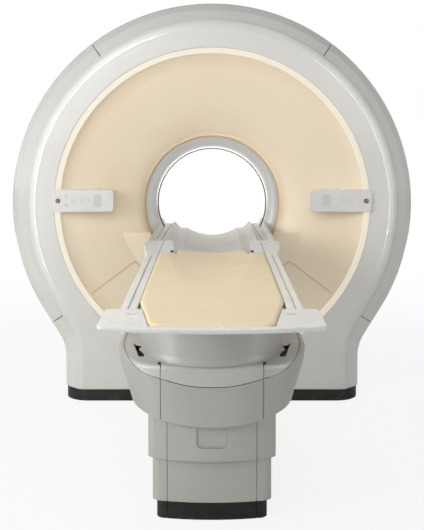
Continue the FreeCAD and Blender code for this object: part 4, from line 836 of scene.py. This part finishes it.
@dataclass
class ControlPanels:
    """The two white panels with their displays, keys and stop buttons.

    An arrow's foot and a fan's reach are shares of half a mark's size, a blade's root is a share of its
    reach, and its half width is in radians.
    """

    mark_mm: float = 9.0
    bar_mm: float = 1.2
    bar_gap_mm: float = 2.0
    ink_mm: float = 0.12
    sunk_mm: float = 0.02
    arrow_foot: float = 0.6
    fan_reach: float = 1.2
    fan_blades: int = 3
    lamp_rays: int = 6
    blade_half: float = 0.22
    blade_root: float = 0.3
    keys: tuple[str, ...] = (
        "table_out_key", "table_in_key", "table_up_key", "table_down_key", "bore_light_key",
        "laser_key", "fan_key",
    )

    def build(self) -> None:
        """Dress the panels and print the keys' marks."""
        dress(PANEL_ABS, "control_panel_left", "control_panel_right")
        dress(DISPLAY_WINDOW, "displays")
        dress(KEY_SILICONE, *self.keys)
        dress(STOP_POLYAMIDE, "stop_button_left", "stop_button_right")
        for mark in self.marks():
            self.print_mark(mark)

    def marks(self) -> list[KeyMark]:
        """List each key's mark, drawn in millimetres about the key's middle.

        Returns:
            One mark for each key.
        """
        half, thin = self.mark_mm / 2, self.bar_mm / 2
        foot = -half * self.arrow_foot
        arrow_up = [(-half, foot), (half, foot), (0.0, half)]
        arrow_down = [(x, -z) for x, z in arrow_up]
        bar = [(-half, -thin), (half, -thin), (half, thin), (-half, thin)]
        return [
            KeyMark("table_out_key", [arrow_down]),
            KeyMark("table_in_key", [arrow_up]),
            KeyMark("table_up_key", [arrow_up, self.shifted(bar, -half - self.bar_gap_mm)]),
            KeyMark("table_down_key", [arrow_down, self.shifted(bar, half + self.bar_gap_mm)]),
            KeyMark("bore_light_key", self.rays(half, self.lamp_rays)),
            KeyMark("laser_key", [bar, [(z, x) for x, z in bar][::-1]]),
            KeyMark("fan_key", self.rays(half * self.fan_reach, self.fan_blades)),
        ]

    @staticmethod
    def shifted(outline: Outline, rise: float) -> Outline:
        """Move an outline up by a rise."""
        return [(x, z + rise) for x, z in outline]

    def rays(self, reach: float, count: int) -> list[Outline]:
        """Draw a ring of tapered blades.

        Args:
            reach: Radius of the blades' tips.
            count: How many blades.

        Returns:
            One outline for each blade.
        """
        blades = []
        for step in range(count):
            turn = math.tau * step / count + math.pi / 2
            tips = [
                (reach, turn - self.blade_half), (reach, turn + self.blade_half),
                (reach * self.blade_root, turn),
            ]
            blades.append([(r * math.cos(a), r * math.sin(a)) for r, a in tips])
        return blades

    def print_mark(self, mark: KeyMark) -> None:
        """Lay a mark's ink on its key, its underside sunk a little below the key's face.

        Args:
            mark: The mark and its key.
        """
        low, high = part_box(mark.key)
        centre = (low + high) / 2
        under = low.y + mm(self.sunk_mm)
        depths = (under, under - mm(self.ink_mm))
        prisms = [
            [[(centre.x + mm(x), y, centre.z + mm(z)) for x, z in outline] for y in depths]
            for outline in mark.outlines
        ]
        mesh = skinned(mark.key + "_mark", prisms)
        new_piece(mesh.name, mesh, MARK_INK, mark.key + "_cap")


# ---- table
@dataclass
class TableTop:
    """The fixed top with its rails, the sliding board and the shoes at its head end."""

    def build(self) -> None:
        """Dress the table's top and what runs below it."""
        dress(PLATE_GELCOAT, "t_plate", "end_brackets")
        dress(SHOE_GELCOAT, "head_shoes")
        dress(RAIL_PAINT, "side_rails")
        dress(BOARD_LAMINATE, "table_board")
        dress(BEAM_PAINT, "table_beam")
        dress(GLIDE_POLYETHYLENE, "glide_strips")


@dataclass
class PatientPad:
    """The thin foam pad in its welded vinyl cover, bedded in the board.

    In its upper crown_mm the cover rises by up to rise_mm or sinks by up to side_mm, and all of it moves
    sideways by up to side_mm.
    """

    voxel_mm: float = 6.0
    rise_mm: float = 2.0
    side_mm: float = 0.4
    near_y_mm: float = -3342.0
    near_half_mm: float = 172.0
    corner_mm: float = 26.0
    crown_mm: float = 30.0
    weld_mm: float = 0.01
    pressure: float = 4.0
    cloth_mass: float = 0.3
    cloth_quality: int = 4
    frames: int = 20
    passes: int = 3
    pass_factor: float = 0.4
    fill: float = 0.85

    def build(self) -> None:
        """Make the pad, let it swell a little, and put it in the place of its plain solid."""
        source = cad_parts["mattress"]
        low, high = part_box("mattress")
        pad = self.even_copy(source)
        self.round_corners(pad.data)
        self.swell(pad, low, high)
        self.soften(pad.data)
        mesh = pad.data
        bpy.data.objects.remove(pad)
        for polygon in mesh.polygons:
            polygon.use_smooth = True
        piece = new_piece("patient_pad", mesh, PAD_VINYL, "table_slide")
        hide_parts("mattress")

    def even_copy(self, source: bpy.types.Object) -> bpy.types.Object:
        """Copy the plain solid as an even, closed net of small quads.

        Args:
            source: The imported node.

        Returns:
            A scratch object with the new mesh.
        """
        shape = bmesh.new()
        shape.from_mesh(source.data)
        bmesh.ops.remove_doubles(shape, verts=shape.verts[:], dist=mm(self.weld_mm))
        mesh = bpy.data.meshes.new("patient_pad")
        shape.to_mesh(mesh)
        shape.free()
        pad = bpy.data.objects.new("patient_pad_draft", mesh)
        bpy.context.scene.collection.objects.link(pad)
        even = pad.modifiers.new("even", "REMESH")
        even.mode = "VOXEL"
        even.voxel_size = mm(self.voxel_mm)
        self.apply(pad)
        return pad

    @staticmethod
    def apply(piece: bpy.types.Object) -> None:
        """Replace a piece's mesh with what its modifiers make of it.

        Args:
            piece: The object, which loses its modifiers.
        """
        graph = bpy.context.evaluated_depsgraph_get()
        mesh = bpy.data.meshes.new_from_object(piece.evaluated_get(graph))
        piece.modifiers.clear()
        piece.data = mesh

    def round_corners(self, mesh: bpy.types.Mesh) -> None:
        """Draw the pad's two foot-end corners in to a generous radius.

        Args:
            mesh: The even mesh.
        """
        radius = mm(self.corner_mm)
        centre_x = mm(self.near_half_mm) - radius
        centre_y = mm(self.near_y_mm) + radius
        for vertex in mesh.vertices:
            x, y = abs(vertex.co.x) - centre_x, vertex.co.y - centre_y
            reach = math.hypot(x, y)
            if x > 0 and y < 0 and reach > radius:
                vertex.co.x = math.copysign(centre_x + x * radius / reach, vertex.co.x)
                vertex.co.y = centre_y + y * radius / reach

    def swell(self, pad: bpy.types.Object, low: Vector, high: Vector) -> None:
        """Blow the cover up gently with a cloth simulation and keep it inside its bed.

        Args:
            pad: The scratch object.
            low: Lowest corner of the plain solid.
            high: Highest corner of the plain solid.
        """
        before = [v.co.copy() for v in pad.data.vertices]
        cloth = pad.modifiers.new("cover", "CLOTH")
        cloth.settings.quality = self.cloth_quality
        cloth.settings.mass = self.cloth_mass
        cloth.settings.use_pressure = True
        cloth.settings.uniform_pressure_force = self.pressure
        cloth.settings.effector_weights.gravity = 0.0
        cloth.collision_settings.use_collision = False
        cloth.point_cache.frame_start = 1
        cloth.point_cache.frame_end = self.frames
        scene = bpy.context.scene
        for step in range(1, self.frames + 1):
            scene.frame_set(step)
            bpy.context.view_layer.update()
        self.apply(pad)
        scene.frame_set(1)
        for vertex, rest in zip(pad.data.vertices, before):
            move = vertex.co - rest
            rise = min(max(move.z, -mm(self.side_mm)), mm(self.rise_mm))
            flat = Vector((move.x, move.y, 0.0))
            if flat.length > mm(self.side_mm):
                flat *= mm(self.side_mm) / flat.length
            lift = rise if rest.z > high.z - mm(self.crown_mm) else 0.0
            vertex.co = rest + flat + Vector((0.0, 0.0, lift))
            vertex.co.z = max(vertex.co.z, low.z)

    def soften(self, mesh: bpy.types.Mesh) -> None:
        """Even out the steps that the net leaves on the dished faces.

        Args:
            mesh: The pad's mesh.
        """
        shape = bmesh.new()
        shape.from_mesh(mesh)
        for _ in range(self.passes):
            bmesh.ops.smooth_vert(
                shape, verts=shape.verts[:], factor=self.pass_factor, use_axis_x=False,
                use_axis_y=False, use_axis_z=True,
            )
        shape.to_mesh(mesh)
        shape.free()


@dataclass
class Pedestal:
    """The telescoping lift with its shrouds, the cradle above it and the duct to the gantry."""

    bowl: tuple[str, ...] = ("bowl_front", "bowl_sides")
    skins: tuple[str, ...] = (
        "cradle", "shroud_front", "shroud_wrap", "mid_cover_front",
        "mid_cover_wrap", "lower_cover_front", "lower_cover_wrap",
    )

    def build(self) -> None:
        """Dress the skins, the base and the lift inside."""
        dress(LIT_BOWL_PAINT, *self.bowl)
        dress(SHELL_PAINT, *self.skins)
        dress(SKIRT_PVC, "kick_panel_front", "kick_panel_wrap")
        dress(POWDER_STEEL, "base_plate", "lift_yoke")
        dress(ANODISED_ALUMINIUM, "column_outer", "column_middle", "column_inner")
        dress(MOTOR_CASTING, "lift_motor", "travel_motor")
        dress(DUCT_STEEL, "floor_duct")


# ---- studio
@dataclass(frozen=True)
class Softbox:
    """One soft lamp, lighting what is matt, what is glossy or both, in metres and watts."""

    name: str
    place: Point
    aim: Point
    width: float
    height: float
    watts: float
    roll_deg: float = 0.0
    in_gloss: bool = False
    in_matt: bool = True


@dataclass(frozen=True)
class LightArc:
    """A row of narrow lamps on an arc about the bore's axis, seen as a thin line in rolled edges."""

    name: str
    start_deg: float
    end_deg: float
    lamps: int
    watts: float
    start_radius: float = 2.0
    end_radius: float = 2.0
    front_y: float = -3.0
    axis_z: float = mm(BORE_HEIGHT_MM)
    rim_radius: float = 0.95
    rim_y: float = -0.8
    width: float = 0.08
    lap: float = 1.12

    def softboxes(self) -> list[Softbox]:
        """Place the arc's lamps, each turned to the part of the rim that it is drawn in.

        Returns:
            One lamp for each step of the arc.
        """
        step = (self.end_deg - self.start_deg) / self.lamps
        boxes = []
        for number in range(self.lamps):
            along = (number + 0.5) / self.lamps
            radius = self.start_radius + (self.end_radius - self.start_radius) * along
            length = self.lap * radius * math.radians(abs(step))
            turn = math.radians(self.start_deg + step * (number + 0.5))
            x, z = math.cos(turn), math.sin(turn)
            place = (radius * x, self.front_y, self.axis_z + radius * z)
            aim = (self.rim_radius * x, self.rim_y, self.axis_z + self.rim_radius * z)
            boxes.append(
                Softbox(
                    f"{self.name}_{number}", place, aim, self.width, length, self.watts,
                    math.degrees(turn), in_gloss=True, in_matt=False,
                )
            )
        return boxes


@dataclass
class Studio:
    """A pale floor, a soft sky and a few soft lamps.

    The sky's strength goes from horizon to zenith, and from_left and from_front say how much more comes
    from those sides. floor_glow is how white the floor is seen near the object, from shadow_near metres
    of shadow_place inwards, so that it keeps a shadow there.
    """

    floor_half: float = 60.0
    floor_colour: str = "#f2f2f0"
    shadow_place: Point = (0.0, -1.3, 0.0)
    shadow_near: float = 2.6
    shadow_far: float = 5.5
    horizon: float = 1.0
    zenith: float = 0.14
    from_left: float = 0.3
    from_front: float = 0.34
    floor_glow: float = 0.85
    lamps: tuple[Softbox, ...] = (
        Softbox("left_box", (-3.6, -4.2, 2.3), (-0.6, -0.8, 1.6), 1.2, 1.6, 64.0),
        Softbox("table_box", (-0.3, -3.1, 2.6), (-0.15, -2.9, 0.9), 1.1, 1.6, 14.0),
        Softbox("bore_box", (0.0, -0.3, 1.0), (0.0, -0.3, 1.4), 0.3, 0.5, 3.2, in_gloss=True),
        Softbox("rear_left_box", (-3.8, 4.6, 2.2), (0.0, 0.5, 1.1), 2.0, 2.6, 100.0),
        Softbox("rear_right_box", (3.8, 4.6, 2.2), (0.0, 0.5, 1.1), 2.0, 2.6, 120.0),
    )
    arcs: tuple[LightArc, ...] = (
        LightArc("left_arc", 110.0, 208.0, 20, 4.6, 1.65, 1.97, width=0.2),
        LightArc("right_arc", 52.0, -26.0, 14, 2.8, 1.7, 1.97, width=0.16),
    )

    def build(self) -> None:
        """Lay the floor, light the sky and hang the lamps."""
        self.lay_floor()
        self.light_sky()
        for lamp in self.lamps:
            self.hang(lamp)
        for arc in self.arcs:
            for lamp in arc.softboxes():
                self.hang(lamp)
        bpy.context.scene.view_settings.view_transform = "Standard"

    @staticmethod
    def shown_white(tree: bpy.types.NodeTree) -> Socket:
        """Say where plain white is seen, directly or through glass.

        Args:
            tree: The node tree.

        Returns:
            1 for camera and transmission rays, else 0.
        """
        path = add_node(tree, "LightPath").outputs
        feeds = (path["Is Camera Ray"], path["Is Transmission Ray"])
        return add_node(tree, "Math", feeds, operation="MAXIMUM").outputs[0]

    def lay_floor(self) -> None:
        """Make the floor, white where it is seen, with the object's shadow kept."""
        half = self.floor_half
        mesh = bpy.data.meshes.new("studio_floor")
        corners = [(-half, -half, 0.0), (half, -half, 0.0), (half, half, 0.0), (-half, half, 0.0)]
        mesh.from_pydata(corners, [], [(0, 1, 2, 3)])
        floor = bpy.data.objects.new("studio_floor", mesh)
        bpy.context.scene.collection.objects.link(floor)
        material = bpy.data.materials.new("matt_studio_paper")
        material.use_nodes = True
        tree = material.node_tree
        tree.nodes.clear()
        paper = add_node(tree, "BsdfDiffuse", {"Color": linear(self.floor_colour)})
        glow = add_node(tree, "Emission", {"Color": (1.0, 1.0, 1.0, 1.0), "Strength": 1.0})
        place = add_node(tree, "TexCoord").outputs["Object"]
        away = add_node(tree, "VectorMath", (place, self.shadow_place), operation="DISTANCE")
        feeds = (away.outputs["Value"], self.shadow_near, self.shadow_far, self.floor_glow, 1.0)
        near = add_node(tree, "MapRange", feeds).outputs[0]
        share = add_node(tree, "Math", (self.shown_white(tree), near), operation="MULTIPLY")
        mix = add_node(tree, "MixShader", (share.outputs[0], paper.outputs[0], glow.outputs[0]))
        add_node(tree, "OutputMaterial", {"Surface": mix.outputs[0]})
        mesh.materials.append(material)

    def light_sky(self) -> None:
        """Light the scene from all round, most from the left and the front, least from above.

        Where the sky itself is seen it is plain white.
        """
        world = bpy.data.worlds.new("studio_sky")
        bpy.context.scene.world = world
        world.use_nodes = True
        tree = world.node_tree
        tree.nodes.clear()
        seen = self.shown_white(tree)
        ray = add_node(tree, "TexCoord").outputs["Generated"]
        axes = add_node(tree, "SeparateXYZ", (ray,)).outputs
        level = add_node(tree, "MapRange", (axes[2], 0.0, 1.0, self.horizon, self.zenith)).outputs[0]
        sides = [
            add_node(tree, "MapRange", (axes[axis], -1.0, 1.0, 1.0 + more, 1.0 - more)).outputs[0]
            for axis, more in enumerate((self.from_left, self.from_front))
        ]
        more = add_node(tree, "Math", sides, operation="MULTIPLY").outputs[0]
        soft = add_node(tree, "Math", (level, more), operation="MULTIPLY").outputs[0]
        feeds = {SHARE: seen, LOW: soft, HIGH: 1.0}
        strength = add_node(tree, "Mix", feeds, data_type="FLOAT").outputs[0]
        sky = add_node(tree, "Background", {"Color": (1.0, 1.0, 1.0, 1.0), "Strength": strength})
        add_node(tree, "OutputWorld", {"Surface": sky.outputs[0]})

    @staticmethod
    def hang(lamp: Softbox) -> None:
        """Hang one soft lamp.

        Args:
            lamp: The lamp.
        """
        light = bpy.data.lights.new(lamp.name, "AREA")
        light.shape = "RECTANGLE"
        light.size = lamp.width
        light.size_y = lamp.height
        light.energy = lamp.watts
        holder = bpy.data.objects.new(lamp.name, light)
        holder.location = lamp.place
        aim = Vector(lamp.aim) - Vector(lamp.place)
        turn = aim.to_track_quat("-Z", "Y")
        roll = Quaternion((0.0, 0.0, 1.0), math.radians(lamp.roll_deg))
        holder.rotation_euler = (turn @ roll).to_euler()
        holder.visible_camera = False
        holder.visible_glossy = lamp.in_gloss
        holder.visible_diffuse = lamp.in_matt
        bpy.context.scene.collection.objects.link(holder)


@dataclass
class PhotoCamera:
    """The photograph's view, from about a standing person's eye height at the foot of the table."""

    place: Point = (0.0, -5.9785, 1.5074)
    tilt_down_deg: float = 2.43
    focal_px: float = 981.09
    image_height_px: int = 530
    sensor_mm: float = 36.0
    shift: float = -0.198
    clip_end: float = 200.0

    def build(self) -> None:
        """Make the camera and set it as the scene's."""
        data = bpy.data.cameras.new("photo_camera")
        data.sensor_width = self.sensor_mm
        data.lens = self.sensor_mm * self.focal_px / self.image_height_px
        data.shift_y = self.shift
        data.dof.use_dof = False
        data.clip_end = self.clip_end
        camera = bpy.data.objects.new("photo_camera", data)
        camera.location = self.place
        camera.rotation_euler = (math.radians(90.0 - self.tilt_down_deg), 0.0, 0.0)
        bpy.context.scene.collection.objects.link(camera)
        bpy.context.scene.camera = camera
        LOG.info("camera at %s", self.place)


def main() -> None:
    """Build every sub-assembly in order, then the studio and the camera."""
    logging.basicConfig(level=logging.INFO)
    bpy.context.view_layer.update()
    assemblies = (
        GantryShell(), Trumpet(), SeamLand(), MagnetInside(), ControlPanels(), TableTop(), PatientPad(),
        Pedestal(), Studio(), PhotoCamera(),
    )
    for assembly in assemblies:
        assembly.build()
        LOG.info("finished %s", type(assembly).__name__)


if __name__ == "__main__":
    main()
